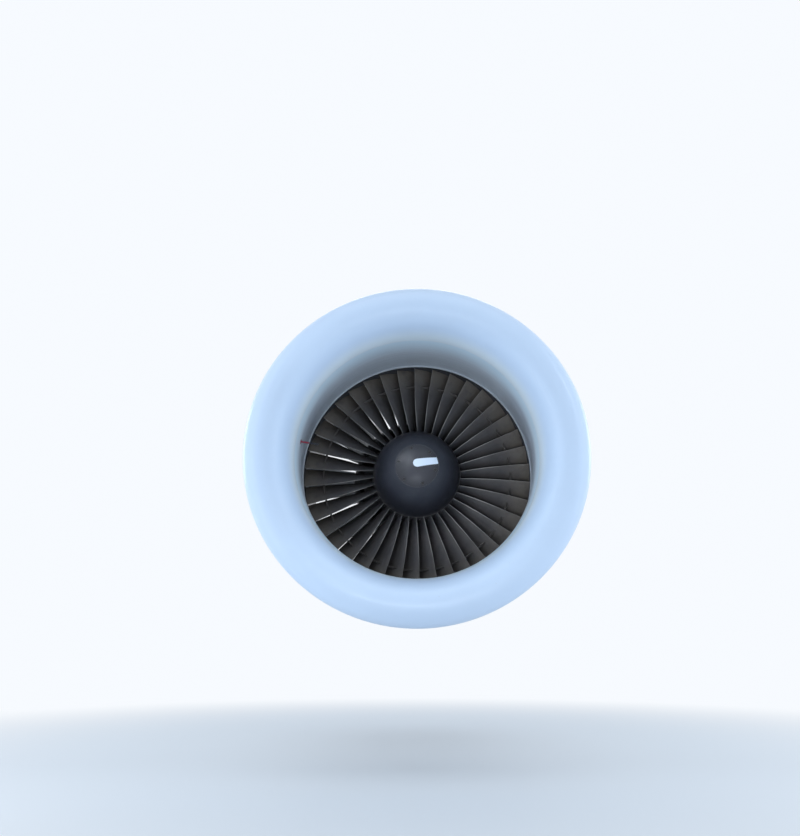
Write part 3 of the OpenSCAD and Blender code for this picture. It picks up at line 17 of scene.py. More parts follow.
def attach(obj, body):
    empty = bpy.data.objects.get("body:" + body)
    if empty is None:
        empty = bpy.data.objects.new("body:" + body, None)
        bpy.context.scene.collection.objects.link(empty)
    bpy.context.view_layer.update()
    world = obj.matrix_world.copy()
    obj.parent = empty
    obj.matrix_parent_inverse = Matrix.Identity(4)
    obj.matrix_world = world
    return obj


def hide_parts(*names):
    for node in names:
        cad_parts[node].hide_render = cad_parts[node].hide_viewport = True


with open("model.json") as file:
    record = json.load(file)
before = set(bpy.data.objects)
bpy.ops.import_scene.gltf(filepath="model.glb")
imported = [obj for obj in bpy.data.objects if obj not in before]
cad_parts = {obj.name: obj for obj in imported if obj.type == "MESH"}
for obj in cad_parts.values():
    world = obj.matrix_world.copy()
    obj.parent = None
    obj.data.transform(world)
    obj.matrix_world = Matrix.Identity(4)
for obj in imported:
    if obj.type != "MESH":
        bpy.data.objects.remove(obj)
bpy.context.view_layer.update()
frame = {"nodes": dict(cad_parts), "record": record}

# Engine axis and the front flange of the fan case, in metres
AXIS_Z = -1.25
FLANGE_Y = -0.85
AFT = Vector((0, 1, 0))

# Bellmouth: lip, nose, curl and back flange
LIP_R = 1460
LIP_S = -976
LIP_FRONT = 170
LIP_NOSE_R = 1270
LIP_CURL_R = 60
LIP_WALL = 12
RIM_HEIGHT = 38
RIM_THICKNESS = 12

# Duct, its throat and the fan case
DUCT_FRONT_R = 1060
DUCT_S = -776
DUCT_WALL = 8
THROAT_S = -576
THROAT_R = 1045
CASE_R = 1100

# Rings of rivets round the duct, and the angles of its lengthwise seams
RIVET_STATIONS = (-752, -600, -544, -168, -112, -30)
RIVETS_IN_RING = 96
SEAM_ANGLES = [math.radians(a) for a in (20, 160, 270)]

# Fan blades: hub radius, and the leading edge's place there and slope outwards, in metres, along which the
# painted highlight runs
HUB_R = 417
BLADE_EDGE_Y = FLANGE_Y + 0.0385
BLADE_EDGE_SLOPE = 0.0383

# Domed spinner plate, and the painted mark with its ends across the plate
CAP_S = -340
CAP_R = 198
CAP_RISE = 46
MARK_LEFT = Vector((-35, 13))
MARK_RIGHT = Vector((188, 49))
MARK_HALF_WIDTH = 34
MARK_TAPER = 0.1
MARK_LIFT = 0.5
MARK_MARGIN = 2

# Inlet probe, its angle and the depth it reaches into the duct
PROBE_S = -620
PROBE_ANGLE = math.radians(171.5)
PROBE_REACH = 160

# Control unit, heat exchanger and oil tank on the fan case
CONTROL_ANGLE = math.radians(25)
CONTROL_ENDS = (200, 500)
CONTROL_PLUG_R = 1231
COOLER_ANGLE = math.radians(-30)
COOLER_ENDS = (240, 460)
TANK_ANGLE = math.radians(160)
TANK_AXIS_R = 1244
TANK_S = 350
TANK_NECK = 106

# Inner radius and station of the bead round the nozzle's edge
BEAD_R = 449
BEAD_S = 3726


def station(s):
    """World y of a station."""
    return FLANGE_Y + s / 1000


def duct_radius(s):
    """Flow side of the duct at a station."""
    if s < THROAT_S:
        share = (s - THROAT_S) / (DUCT_S - THROAT_S)
        return THROAT_R + (DUCT_FRONT_R - THROAT_R) * share ** 2
    return THROAT_R + (CASE_R - THROAT_R) * (1 - math.cos(math.pi * (s - THROAT_S) / -THROAT_S)) / 2


def at(radius, angle, s):
    """World point at a radius, an angle and a station."""
    r = radius / 1000
    return Vector((r * math.cos(angle), station(s), AXIS_Z + r * math.sin(angle)))


# Materials

# Sockets for a point's radius, station and angle about the axis, in metres and radians
Polar = namedtuple("Polar", "radius y angle")


def finish_of(name, colour, rough, metal=0.0, coat=0.0):
    """New material whose shader carries the plain values of a finish."""
    material = bpy.data.materials.new(name)
    material.use_nodes = True
    shader = shader_of(material)
    shader.inputs["Base Color"].default_value = (*colour, 1)
    shader.inputs["Roughness"].default_value = rough
    shader.inputs["Metallic"].default_value = metal
    shader.inputs["Coat Weight"].default_value = coat
    shader.inputs["Coat Roughness"].default_value = 0.08
    return material


def shader_of(material):
    """Principled shader of a material."""
    return material.node_tree.nodes["Principled BSDF"]


def axis_point(material):
    """Object coordinates measured from the engine axis."""
    tree = material.node_tree
    coordinates = tree.nodes.new("ShaderNodeTexCoord")
    centred = tree.nodes.new("ShaderNodeMapping")
    centred.inputs["Location"].default_value = (0, 0, -AXIS_Z)
    tree.links.new(coordinates.outputs["Object"], centred.inputs["Vector"])
    return centred.outputs["Vector"]


def maths(material, operation, a, b=0.0):
    """Math node on sockets or numbers."""
    tree = material.node_tree
    step = tree.nodes.new("ShaderNodeMath")
    step.operation = operation
    for socket, value in zip(step.inputs, (a, b)):
        if isinstance(value, (int, float)):
            socket.default_value = value
        else:
            tree.links.new(value, socket)
    return step.outputs[0]


def product(material, a, b):
    """Two shares multiplied."""
    return maths(material, "MULTIPLY", a, b)


def polar_point(material):
    """Polar sockets of the shaded point."""
    tree = material.node_tree
    split = tree.nodes.new("ShaderNodeSeparateXYZ")
    tree.links.new(axis_point(material), split.inputs[0])
    x, y, z = split.outputs
    squares = maths(material, "ADD", product(material, x, x), product(material, z, z))
    return Polar(maths(material, "SQRT", squares), y, maths(material, "ARCTAN2", z, x))


def noise(material, vector, scale, detail=4.0):
    """Cloudy pattern, around one half."""
    tree = material.node_tree
    pattern = tree.nodes.new("ShaderNodeTexNoise")
    pattern.inputs["Scale"].default_value = scale
    pattern.inputs["Detail"].default_value = detail
    pattern.inputs["Roughness"].default_value = 0.55
    tree.links.new(vector, pattern.inputs["Vector"])
    return pattern.outputs["Fac"]


def spread(material, value, low, high, out_low=0.0, out_high=1.0):
    """Value mapped from one range to another and held inside it."""
    tree = material.node_tree
    ramp = tree.nodes.new("ShaderNodeMapRange")
    ramp.interpolation_type = "SMOOTHSTEP"
    ramp.inputs["From Min"].default_value = low
    ramp.inputs["From Max"].default_value = high
    ramp.inputs["To Min"].default_value = out_low
    ramp.inputs["To Max"].default_value = out_high
    tree.links.new(value, ramp.inputs["Value"])
    return ramp.outputs["Result"]


def tint(material, share, colour):
    """The shader's colour is mixed towards another one by a share."""
    tree = material.node_tree
    socket = shader_of(material).inputs["Base Color"]
    mix = tree.nodes.new("ShaderNodeMix")
    mix.data_type = "RGBA"
    inputs = {s.identifier: s for s in mix.inputs}
    if socket.is_linked:
        tree.links.new(socket.links[0].from_socket, inputs["A_Color"])
    else:
        inputs["A_Color"].default_value = socket.default_value
    inputs["B_Color"].default_value = (*colour, 1)
    tree.links.new(share, inputs["Factor_Float"])
    tree.links.new({s.identifier: s for s in mix.outputs}["Result_Color"], socket)


def vary_roughness(material, share, low, high):
    """Roughness between two values, after a pattern."""
    rough = spread(material, share, 0.3, 0.7, low, high)
    material.node_tree.links.new(rough, shader_of(material).inputs["Roughness"])


def grain(material, height):
    """Fine relief from a pattern."""
    tree = material.node_tree
    bump = tree.nodes.new("ShaderNodeBump")
    bump.inputs["Strength"].default_value = 0.25
    bump.inputs["Distance"].default_value = 0.0006
    tree.links.new(height, bump.inputs["Height"])
    tree.links.new(bump.outputs[0], shader_of(material).inputs["Normal"])


def turned_streaks(material, across, along):
    """Noise drawn out round the axis, as brushing or turning leaves it."""
    polar = polar_point(material)
    join = material.node_tree.nodes.new("ShaderNodeCombineXYZ")
    scaled = (
        product(material, polar.radius, across),
        product(material, polar.y, across),
        product(material, polar.angle, along),
    )
    for value, socket in zip(scaled, join.inputs):
        material.node_tree.links.new(value, socket)
    return noise(material, join.outputs[0], 1.0, 3.0)


def inward(material):
    """One on walls that face the axis, and none on those that face away."""
    tree = material.node_tree
    flat = tree.nodes.new("ShaderNodeMapping")
    flat.inputs["Scale"].default_value = (1, 0, 1)
    tree.links.new(axis_point(material), flat.inputs["Vector"])
    facing = tree.nodes.new("ShaderNodeNewGeometry")
    dot = tree.nodes.new("ShaderNodeVectorMath")
    dot.operation = "DOT_PRODUCT"
    tree.links.new(facing.outputs["Normal"], dot.inputs[0])
    tree.links.new(flat.outputs["Vector"], dot.inputs[1])
    return spread(material, dot.outputs["Value"], -0.4, -0.1, 1.0, 0.0)


def moulded_white():
    """Gloss gelcoat with faint soiling, and painted light that makes the bell paler where it nears the
    duct.
    """
    pale_from = station(-1010)
    pale_to = station(-830)
    material = finish_of("white_moulding", (0.635, 0.762, 0.93), 0.38, coat=0.2)
    point = axis_point(material)
    soiling = spread(material, noise(material, point, 1.6), 0.45, 0.8, 0.0, 0.25)
    tint(material, soiling, (0.575, 0.68, 0.82))
    specks = spread(material, noise(material, point, 38.0, 8.0), 0.70, 0.78, 0.0, 0.5)
    tint(material, specks, (0.45, 0.46, 0.47))
    # Painted light: the inner bell is lightened towards the duct.
    pale = spread(material, polar_point(material).y, pale_from, pale_to, 0.0, 0.85)
    tint(material, pale, (0.87, 0.96, 1.0))
    vary_roughness(material, noise(material, point, 5.0), 0.32, 0.46)
    return material


def brushed_duct():
    """Turned metal outside; pale liner inside, whiter in front, with painted shade darkening its sides from
    the throat back.
    """
    pale_to = station(-480)
    side_shade_from = station(-690)
    side_shade_to = station(-560)
    material = finish_of("duct_metal", (0.43, 0.44, 0.46), 0.44)
    point = axis_point(material)
    streak = turned_streaks(material, 190.0, 1.2)
    stains = spread(material, noise(material, point, 3.0), 0.45, 0.75, 0.0, 0.7)
    tint(material, stains, (0.34, 0.35, 0.37))
    inside = inward(material)
    tint(material, inside, (0.74, 0.79, 0.845))
    tint(material, spread(material, streak, 0.35, 0.7, 0.0, 0.5), (0.52, 0.54, 0.57))
    polar = polar_point(material)
    front = spread(material, polar.y, station(DUCT_S), pale_to, 1.0, 0.0)
    tint(material, product(material, front, inside), (0.77, 0.91, 1.0))
    # Painted shade: the duct's left and right sides are darkened from about the throat back to the fan.
    sideways = maths(material, "ABSOLUTE", maths(material, "COSINE", polar.angle))
    sides = spread(material, sideways, 0.7, 0.95)
    beside_throat = spread(material, polar.y, side_shade_from, side_shade_to, 0.0, 0.6)
    side_shade = product(material, sides, beside_throat)
    tint(material, product(material, side_shade, inside), (0.40, 0.44, 0.50))
    metal = spread(material, inside, 0.0, 1.0, 0.8, 0.25)
    material.node_tree.links.new(metal, shader_of(material).inputs["Metallic"])
    vary_roughness(material, streak, 0.40, 0.56)
    return material


def blade_alloy():
    """Dark satin blades, with painted shade towards the hub, a thin painted highlight along the leading
    edge, and a browner tone towards the tip that painted light also makes lighter.
    """
    material = finish_of("blade_metal", (0.085, 0.077, 0.075), 0.5, metal=0.25)
    polar = polar_point(material)
    point = axis_point(material)
    # Painted shade: darker towards the hub, where the blade roots crowd together.
    tint(material, spread(material, polar.radius, 0.42, 0.70, 0.9, 0.0), (0.030, 0.029, 0.032))
    # Brown tone towards the tip, partly the blades' own colour and partly painted light that makes the tips
    # lighter.
    tint(material, spread(material, polar.radius, 0.80, 1.08, 0.0, 0.85), (0.19, 0.162, 0.135))
    stains = spread(material, noise(material, point, 9.0), 0.45, 0.8, 0.0, 0.5)
    tint(material, stains, (0.06, 0.054, 0.053))
    specks = spread(material, noise(material, point, 60.0, 6.0), 0.66, 0.74, 0.0, 0.6)
    tint(material, specks, (0.04, 0.038, 0.038))
    # Painted highlight: a thin light band just behind the leading edge, which slopes back from the hub.
    over_hub = maths(material, "SUBTRACT", polar.radius, HUB_R / 1000)
    edge = maths(material, "ADD", BLADE_EDGE_Y, product(material, BLADE_EDGE_SLOPE, over_hub))
    behind_edge = maths(material, "SUBTRACT", polar.y, edge)
    tint(material, spread(material, behind_edge, 0.0005, 0.0022, 0.6, 0.0), (0.42, 0.39, 0.36))
    vary_roughness(material, noise(material, point, 22.0), 0.42, 0.6)
    return material


def charcoal_paint_and_shade(name, middle, rim, rim_from, rim_to):
    """Satin paint, darkened by painted shade from one tone near the axis to a darker one at the rim."""
    material = finish_of(name, middle, 0.4)
    point = axis_point(material)
    stains = spread(material, noise(material, point, 7.0), 0.45, 0.8, 0.0, 0.4)
    tint(material, stains, (0.052, 0.054, 0.062))
    specks = spread(material, noise(material, point, 90.0, 5.0), 0.68, 0.76, 0.0, 0.7)
    tint(material, specks, (0.13, 0.13, 0.135))
    # Painted shade: the paint darkens towards the rim.
    tint(material, spread(material, polar_point(material).radius, rim_from, rim_to, 0.0, 0.7), rim)
    vary_roughness(material, noise(material, point, 12.0), 0.34, 0.5)
    return material


def worn_paint(name, colour, shade, rough):
    """Paint with soft stains and worn specks."""
    material = finish_of(name, colour, rough)
    point = axis_point(material)
    tint(material, spread(material, noise(material, point, 5.0), 0.45, 0.8), shade)
    specks = spread(material, noise(material, point, 45.0, 7.0), 0.68, 0.76, 0.0, 0.6)
    tint(material, specks, (0.3, 0.29, 0.28))
    vary_roughness(material, noise(material, point, 14.0), rough - 0.08, rough + 0.12)
    return material


def probe_paint():
    """Crimson paint near the probe's foot, bare dark metal towards its head."""
    foot = duct_radius(PROBE_S) / 1000
    reach = PROBE_REACH / 1000
    bare_from = foot - 0.44 * reach
    bare_to = foot - 0.52 * reach
    material = worn_paint("probe_red", (0.30, 0.032, 0.05), (0.2, 0.02, 0.03), 0.4)
    bare = spread(material, polar_point(material).radius, bare_to, bare_from, 1.0, 0.0)
    tint(material, bare, (0.02, 0.02, 0.024))
    return material


def cast_metal(name, colour, shade, rough, metal=0.85):
    """Bare metal with soft stains and a fine cast grain."""
    material = finish_of(name, colour, rough, metal=metal)
    point = axis_point(material)
    tint(material, spread(material, noise(material, point, 6.0), 0.42, 0.75), shade)
    vary_roughness(material, noise(material, point, 18.0), rough - 0.08, rough + 0.12)
    grain(material, noise(material, point, 260.0, 2.0))
    return material


def turned_metal(name, colour, shade, rough):
    """Bare metal with turning marks and soft stains."""
    material = finish_of(name, colour, rough, metal=0.9)
    streak = turned_streaks(material, 420.0, 1.0)
    tint(material, spread(material, streak, 0.35, 0.75, 0.0, 0.45), shade)
    stains = spread(material, noise(material, axis_point(material), 4.0), 0.45, 0.8, 0.0, 0.7)
    tint(material, stains, shade)
    vary_roughness(material, streak, rough - 0.06, rough + 0.1)
    return material


def heated_metal():
    """Sheet and castings behind the combustor, browned and then blued towards the nozzle."""
    blued_from = station(3000)
    blued_to = station(3600)
    sooted_from = station(3640)
    sooted_to = station(3760)
    material = turned_metal("hot_metal", (0.33, 0.27, 0.22), (0.19, 0.155, 0.15), 0.45)
    y = polar_point(material).y
    tint(material, spread(material, y, blued_from, blued_to, 0.0, 0.55), (0.20, 0.20, 0.26))
    tint(material, spread(material, y, sooted_from, sooted_to, 0.0, 0.6), (0.12, 0.11, 0.115))
    return material


# Middle and rim tones of the spinner and of its plate: the darker rims are painted shade, and the plate's
# lighter middle is painted light.
SPINNER_TONE_AND_SHADE = ((0.023, 0.024, 0.033), (0.010, 0.0105, 0.015))
PLATE_LIGHT_AND_SHADE = ((0.027, 0.028, 0.037), (0.014, 0.0145, 0.019))
FINISHES = {
    "white_moulding": moulded_white(),
    "brace_paint": worn_paint("brace_paint", (0.62, 0.64, 0.66), (0.52, 0.53, 0.54), 0.45),
    "duct_metal": brushed_duct(),
    "probe_red": probe_paint(),
    "case_metal": turned_metal("case_metal", (0.46, 0.47, 0.48), (0.33, 0.34, 0.35), 0.38),
    "rub_compound": worn_paint("rub_compound", (0.035, 0.035, 0.04), (0.06, 0.06, 0.062), 0.8),
    "vane_alloy": cast_metal("vane_alloy", (0.22, 0.225, 0.23), (0.13, 0.13, 0.135), 0.42),
    "frame_metal": cast_metal("frame_metal", (0.42, 0.42, 0.42), (0.30, 0.30, 0.30), 0.45),
    "spinner_grey": charcoal_paint_and_shade("spinner_grey", *SPINNER_TONE_AND_SHADE, 0.27, 0.40),
    "plate_grey": charcoal_paint_and_shade("plate_grey", *PLATE_LIGHT_AND_SHADE, 0.10, 0.20),
    "bolt_steel": cast_metal("bolt_steel", (0.50, 0.50, 0.50), (0.34, 0.33, 0.32), 0.34),
    "dark_bolts": cast_metal("dark_bolts", (0.02, 0.02, 0.022), (0.01, 0.01, 0.012), 0.35, metal=0.2),
    # The land's finish is lighter than the case metal: partly a painted highlight along the front edge of
    # the fan case.
    "land_metal_and_highlight": finish_of("land_metal_and_highlight", (0.48, 0.51, 0.54), 0.4, metal=0.3),
    "mark_white": finish_of("mark_white", (0.67, 0.755, 0.865), 0.35, coat=0.4),
    "blade_metal": blade_alloy(),
    "shaft_steel": turned_metal("shaft_steel", (0.52, 0.52, 0.53), (0.40, 0.40, 0.41), 0.28),
    "core_metal": turned_metal("core_metal", (0.44, 0.40, 0.34), (0.30, 0.25, 0.20), 0.42),
    "lever_bronze": cast_metal("lever_bronze", (0.40, 0.29, 0.14), (0.28, 0.19, 0.10), 0.4),
    "hot_metal": heated_metal(),
    "gearbox_metal": cast_metal("gearbox_metal", (0.50, 0.50, 0.49), (0.38, 0.38, 0.37), 0.46),
    "unit_paint": worn_paint("unit_paint", (0.16, 0.17, 0.18), (0.10, 0.105, 0.11), 0.42),
    "mount_paint": worn_paint("mount_paint", (0.06, 0.09, 0.14), (0.04, 0.06, 0.10), 0.45),
}

# Nodes whose finish isn't their slot's
OWN_FINISH = {"spinner_bolts": "dark_bolts", "spinner_cap": "plate_grey"}


# Pieces

def place(name, mesh, slot, body, *nodes, finish=None):
    """Object for a finished mesh: its finish, the body it rides on and the nodes it stands for."""
    piece = bpy.data.objects.new(name, mesh)
    bpy.context.scene.collection.objects.link(piece)
    mesh.materials.clear()
    mesh.materials.append(FINISHES[finish or slot])
    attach(piece, body)
    if nodes:
        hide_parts(*nodes)


def soften(work, limit):
    """Faces shade smoothly, and edges sharper than limit degrees stay hard."""
    for face in work.faces:
        face.smooth = True
    for edge in work.edges:
        edge.smooth = len(edge.link_faces) == 2 and edge.calc_face_angle(0) < math.radians(limit)


def mesh_from(work, name):
    """Mesh with the faces of a bmesh, which is freed."""
    mesh = bpy.data.meshes.new(name)
    work.to_mesh(mesh)
    work.free()
    return mesh


def merged_copy(node):
    """Merged copy of a CAD node's mesh, softly shaded between its hard edges."""
    work = bmesh.new()
    work.from_mesh(frame["nodes"][node].data)
    bmesh.ops.remove_doubles(work, verts=work.verts, dist=0.00002)
    bmesh.ops.dissolve_degenerate(work, dist=0.000001, edges=work.edges)
    soften(work, 32)
    mesh = mesh_from(work, node + "_dressed")
    if "custom_normal" in mesh.attributes:
        mesh.attributes.remove(mesh.attributes["custom_normal"])
    return mesh


def spun(name, line, slot, body, *nodes, finish=None):
    """Solid of revolution about the engine axis from points given as radius and station."""
    work = bmesh.new()
    corners = [work.verts.new((r / 1000, station(s), AXIS_Z)) for r, s in line]
    edges = [work.edges.new(pair) for pair in zip(corners, corners[1:] + corners[:1])]
    bmesh.ops.spin(work, geom=corners + edges, cent=(0, 0, AXIS_Z), axis=(0, 1, 0),
                   angle=2 * math.pi, steps=192, use_merge=True)
    bmesh.ops.remove_doubles(work, verts=work.verts, dist=0.00001)
    bmesh.ops.recalc_face_normals(work, faces=work.faces)
    soften(work, 30)
    place(name, mesh_from(work, name), slot, body, *nodes, finish=finish)


def arc(centre_r, centre_s, reach_r, reach_s, start, end, count):
    """Points on an ellipse about a radius and station, angles in degrees from the radius."""
    turns = [math.radians(start + (end - start) * i / count) for i in range(count + 1)]
    return [(centre_r + reach_r * math.cos(t), centre_s + reach_s * math.sin(t)) for t in turns]


def heads(name, spots, radius, height, slot, sides=8, taper=0.72, finish=None):
    """Small heads or discs on the engine, each at a point and along its direction, in one piece."""
    middle_over_point = 0.4 / 1000
    work = bmesh.new()
    for point, direction in spots:
        turn = direction.to_track_quat("Z", "Y").to_matrix().to_4x4()
        seat = Matrix.Translation(point + direction * height * middle_over_point) @ turn
        bmesh.ops.create_cone(work, cap_ends=True, segments=sides, radius1=radius / 1000,
                              radius2=radius * taper / 1000, depth=height / 1000, matrix=seat)
    soften(work, 25)
    place(name, mesh_from(work, name), slot, "engine", finish=finish)


def outward(angle):
    """Direction away from the axis."""
    return Vector((math.cos(angle), 0, math.sin(angle)))


def beside(angle):
    """Direction round the axis, clockwise as seen from the front."""
    return Vector((math.sin(angle), 0, -math.cos(angle)))


def slot_of(node):
    """Material slot that the record gives a node."""
    for part in frame["record"]["subparts"]:
        if part["node"] == node:
            return part["material_slot"]
    raise KeyError(node)


# Intake and CAD nodes: the moulded lip is spun finely for clean highlights

def bellmouth_line(inset):
    """Bell, roll and curl of the bellmouth, moved in by a wall."""
    bell_r = DUCT_FRONT_R - LIP_NOSE_R + inset
    bell_s = LIP_S - LIP_FRONT + inset - DUCT_S
    bell = arc(LIP_NOSE_R, DUCT_S, bell_r, bell_s, 0, 90, 28)
    roll = arc(LIP_NOSE_R, LIP_S, LIP_R - LIP_NOSE_R - inset, -LIP_FRONT + inset, 90, 0, 24)
    curl = arc(LIP_R - LIP_CURL_R, LIP_S, LIP_CURL_R - inset, LIP_CURL_R - inset, 0, 90, 10)
    return bell + roll[1:] + curl[1:]


def bellmouth():
    """Outer skin, turned-in edge, inner skin and back flange of the moulded shell."""
    edge_r = LIP_R - LIP_CURL_R - RIM_HEIGHT
    edge_s = LIP_S + LIP_CURL_R
    back_r = DUCT_FRONT_R + DUCT_WALL + RIM_HEIGHT
    turned_in = [(edge_r, edge_s), (edge_r, edge_s - LIP_WALL)]
    back_flange = [
        (DUCT_FRONT_R + LIP_WALL, DUCT_S - RIM_THICKNESS),
        (back_r, DUCT_S - RIM_THICKNESS),
        (back_r, DUCT_S),
    ]
    line = bellmouth_line(0) + turned_in + bellmouth_line(LIP_WALL)[:0:-1] + back_flange
    spun("bellmouth_shell", line, "white_moulding", "engine", "bellmouth")


def softened_nodes(nodes, body):
    """Merged copies of CAD nodes, so that their curved faces shade smoothly."""
    for node in nodes:
        finish = OWN_FINISH.get(node)
        place(node + "_skin", merged_copy(node), slot_of(node), body, node, finish=finish)


bellmouth()
for carrier, members in frame["record"]["behaviour"]["bodies"].items():
    softened_nodes([node for node in members if node != "bellmouth"], carrier)


# Painted mark on the spinner plate

def swirl_mark():
    """White strip laid on the domed plate, rounded at its left and cut by the plate's edge at its right."""
    along = (MARK_RIGHT - MARK_LEFT).normalized()
    side = Vector((-along.y, along.x))
    work = bmesh.new()
    bmesh.ops.create_grid(work, x_segments=24, y_segments=16, size=1)
    for corner in work.verts:
        half = MARK_HALF_WIDTH * (1 - MARK_TAPER * corner.co.x)
        across = MARK_LEFT.dot(side) + half * corner.co.y
        left = MARK_LEFT.dot(along) + half * (1 - math.sqrt(max(0, 1 - corner.co.y ** 2)))
        right = math.sqrt((CAP_R - MARK_MARGIN) ** 2 - across ** 2)
        spot = along * (left + (right - left) * (corner.co.x + 1) / 2) + side * across
        rise = CAP_RISE * (1 - (spot.length / CAP_R) ** 2)
        corner.co = (spot.x / 1000, station(CAP_S - rise - MARK_LIFT), AXIS_Z + spot.y / 1000)
    bmesh.ops.solidify(work, geom=work.faces[:], thickness=0.001)
    bmesh.ops.recalc_face_normals(work, faces=work.faces)
    soften(work, 40)
    place("swirl_mark", mesh_from(work, "swirl_mark"), "white_moulding", "fan_rotor", finish="mark_white")


swirl_mark()


# Machined land on the front edge of the fan case

def case_land():
    """Bevelled ring, sunk a little into the bore of the fan case, in a paler finish that is partly a
    painted highlight along the case's front edge.
    """
    outer = CASE_R + 0.5
    inner = CASE_R - 10
    line = [(outer, -7), (inner + 1, -7), (inner, -5), (inner, -2), (outer, -1)]
    spun("case_land", line, "case_metal", "engine", finish="land_metal_and_highlight")


case_land()


# Seams and rivets on the duct's skin

def duct_skin(s):
    """Outside of the duct at a station."""
    return duct_radius(s) + DUCT_WALL


def seam_strip(name, angle):
    """Thin strap over a lengthwise seam of the duct."""
    middle = -350
    half_length = 190
    half_angle = 0.026
    lift = 0.2
    work = bmesh.new()
    bmesh.ops.create_grid(work, x_segments=4, y_segments=24, size=1)
    for corner in work.verts:
        s = middle + corner.co.y * half_length
        corner.co = at(duct_skin(s) + lift, angle + half_angle * corner.co.x, s)
    bmesh.ops.recalc_face_normals(work, faces=work.faces)
    if sum(face.normal.dot(outward(angle)) for face in work.faces) < 0:
        bmesh.ops.reverse_faces(work, faces=work.faces)
    bmesh.ops.solidify(work, geom=work.faces[:], thickness=-0.0015)
    bmesh.ops.recalc_face_normals(work, faces=work.faces)
    soften(work, 40)
    place(name, mesh_from(work, name), "duct_metal", "engine")


def rivet_ring(radius, s):
    """Spots all round the duct at one station."""
    first = math.radians(1.9)
    turns = [first + 2 * math.pi * i / RIVETS_IN_RING for i in range(RIVETS_IN_RING)]
    return [(at(radius, turn, s), outward(turn)) for turn in turns]


def duct_rivets():
    """Rings of rivets round the duct, and two rows along each seam."""
    first = -520
    pitch = 28
    row_angle = 0.017
    spots = []
    for s in RIVET_STATIONS:
        spots += rivet_ring(duct_skin(s) - 0.5, s)
    for angle in SEAM_ANGLES:
        for i in range(13):
            s = first + i * pitch
            for turn in (angle - row_angle, angle + row_angle):
                spots.append((at(duct_skin(s) + 0.8, turn, s), outward(turn)))
    heads("duct_rivets", spots, 6, 3, "duct_metal")


for number, angle in enumerate(SEAM_ANGLES):
    seam_strip(f"duct_seam_{number}", angle)
duct_rivets()


# Screws, plugs, straps and caps on the gearbox and the units of the fan case

def gearbox_screws():
    """Screws round the edge of both faces of the gearbox case."""
    faces = ((775, -AFT), (955, AFT))
    spots = []
    for s, way in faces:
        for i in range(14):
            angle = math.radians(-106.4 + i * 2.477)
            for radius in (1198, 1381):
                spots.append((at(radius, angle, s), way))
        for radius in (1244, 1290, 1336):
            for end in (-106.9, -73.8):
                spots.append((at(radius, math.radians(end), s), way))
    heads("gearbox_screws", spots, 7, 6, "bolt_steel", sides=6)


def corner_screws(angle, ends, radii, half_width):
    """Screws in the corners of a unit's two ends."""
    spots = []
    for s, way in zip(ends, (-AFT, AFT)):
        for radius in radii:
            for across in (-half_width, half_width):
                spots.append((at(radius, angle, s) + beside(angle) * across, way))
    return spots


def unit_plugs():
    """Round connectors and corner screws on the ends of the control unit and the heat exchanger."""
    front, back = CONTROL_ENDS
    plugs = []
    for across in (-0.14, -0.09, 0.09, 0.14):
        plugs.append((at(CONTROL_PLUG_R, CONTROL_ANGLE, back) + beside(CONTROL_ANGLE) * across, AFT))
    for across in (-0.12, -0.04, 0.04, 0.12):
        plugs.append((at(CONTROL_PLUG_R, CONTROL_ANGLE, front) + beside(CONTROL_ANGLE) * across, -AFT))
    collars = [(point + way * 0.010, way) for point, way in plugs]
    screws = corner_screws(CONTROL_ANGLE, CONTROL_ENDS, (1196, 1266), 0.18)
    screws += corner_screws(COOLER_ANGLE, COOLER_ENDS, (1192, 1282), 0.14)
    heads("unit_plugs", plugs, 14, 30, "bolt_steel", sides=16, taper=0.9)
    heads("unit_collars", collars, 19, 8, "bolt_steel", sides=16, taper=1.0, finish="dark_bolts")
    heads("unit_screws", screws, 5, 4, "bolt_steel", sides=6)


def tank_fittings():
    """Two straps round the oil tank and the cap on its filler."""
    along = beside(TANK_ANGLE)
    centre = at(TANK_AXIS_R, TANK_ANGLE, TANK_S)
    straps = [(centre + along * shift, along) for shift in (-0.12, 0.02)]
    heads("tank_straps", straps, 84, 22, "bolt_steel", sides=64, taper=1.0)
    neck = at(TANK_AXIS_R + TANK_NECK, TANK_ANGLE, TANK_S) - along * 0.12
    heads("tank_cap", [(neck, outward(TANK_ANGLE))], 32, 12, "bolt_steel", sides=24, taper=0.92)


def probe_tip():
    """Dark sensing head on the end of the inlet probe."""
    end = duct_radius(PROBE_S) - PROBE_REACH
    spots = [(at(end + 28, PROBE_ANGLE, PROBE_S), -outward(PROBE_ANGLE))]
    heads("probe_tip", spots, 12, 29, "probe_red", sides=16, taper=0.9, finish="dark_bolts")


def nozzle_bead():
    """Square bead round the edge of the exhaust nozzle."""
    outer = BEAD_R + 10
    back = BEAD_S + 13
    line = [(BEAD_R, BEAD_S), (outer, BEAD_S), (outer, back), (BEAD_R, back)]
    spun("nozzle_bead", line, "hot_metal", "engine")


gearbox_screws()
unit_plugs()
tank_fittings()
probe_tip()
nozzle_bead()


# Studio: floor, world, lamps and camera

FLOOR_Z = -3.82
BACKDROP_WHITE = (0.93, 0.96, 1.0, 1)
AMBIENT_BLUE = (0.72, 0.85, 1.0, 1)
LAMP_COLOUR = (0.83, 0.91, 1.0)
CAMERA_SPOT = (0, -8.078, -2.828)
CAMERA_PITCH = 16.47


def floor():
    """Wide flat ground under the engine."""
    work = bmesh.new()
    bmesh.ops.create_grid(work, x_segments=1, y_segments=1, size=60)
    bmesh.ops.translate(work, verts=work.verts, vec=(0, 0, FLOOR_Z))
    mesh = mesh_from(work, "studio_floor")
    ground = bpy.data.objects.new("studio_floor", mesh)
    bpy.context.scene.collection.objects.link(ground)
    mesh.materials.append(floor_finish())


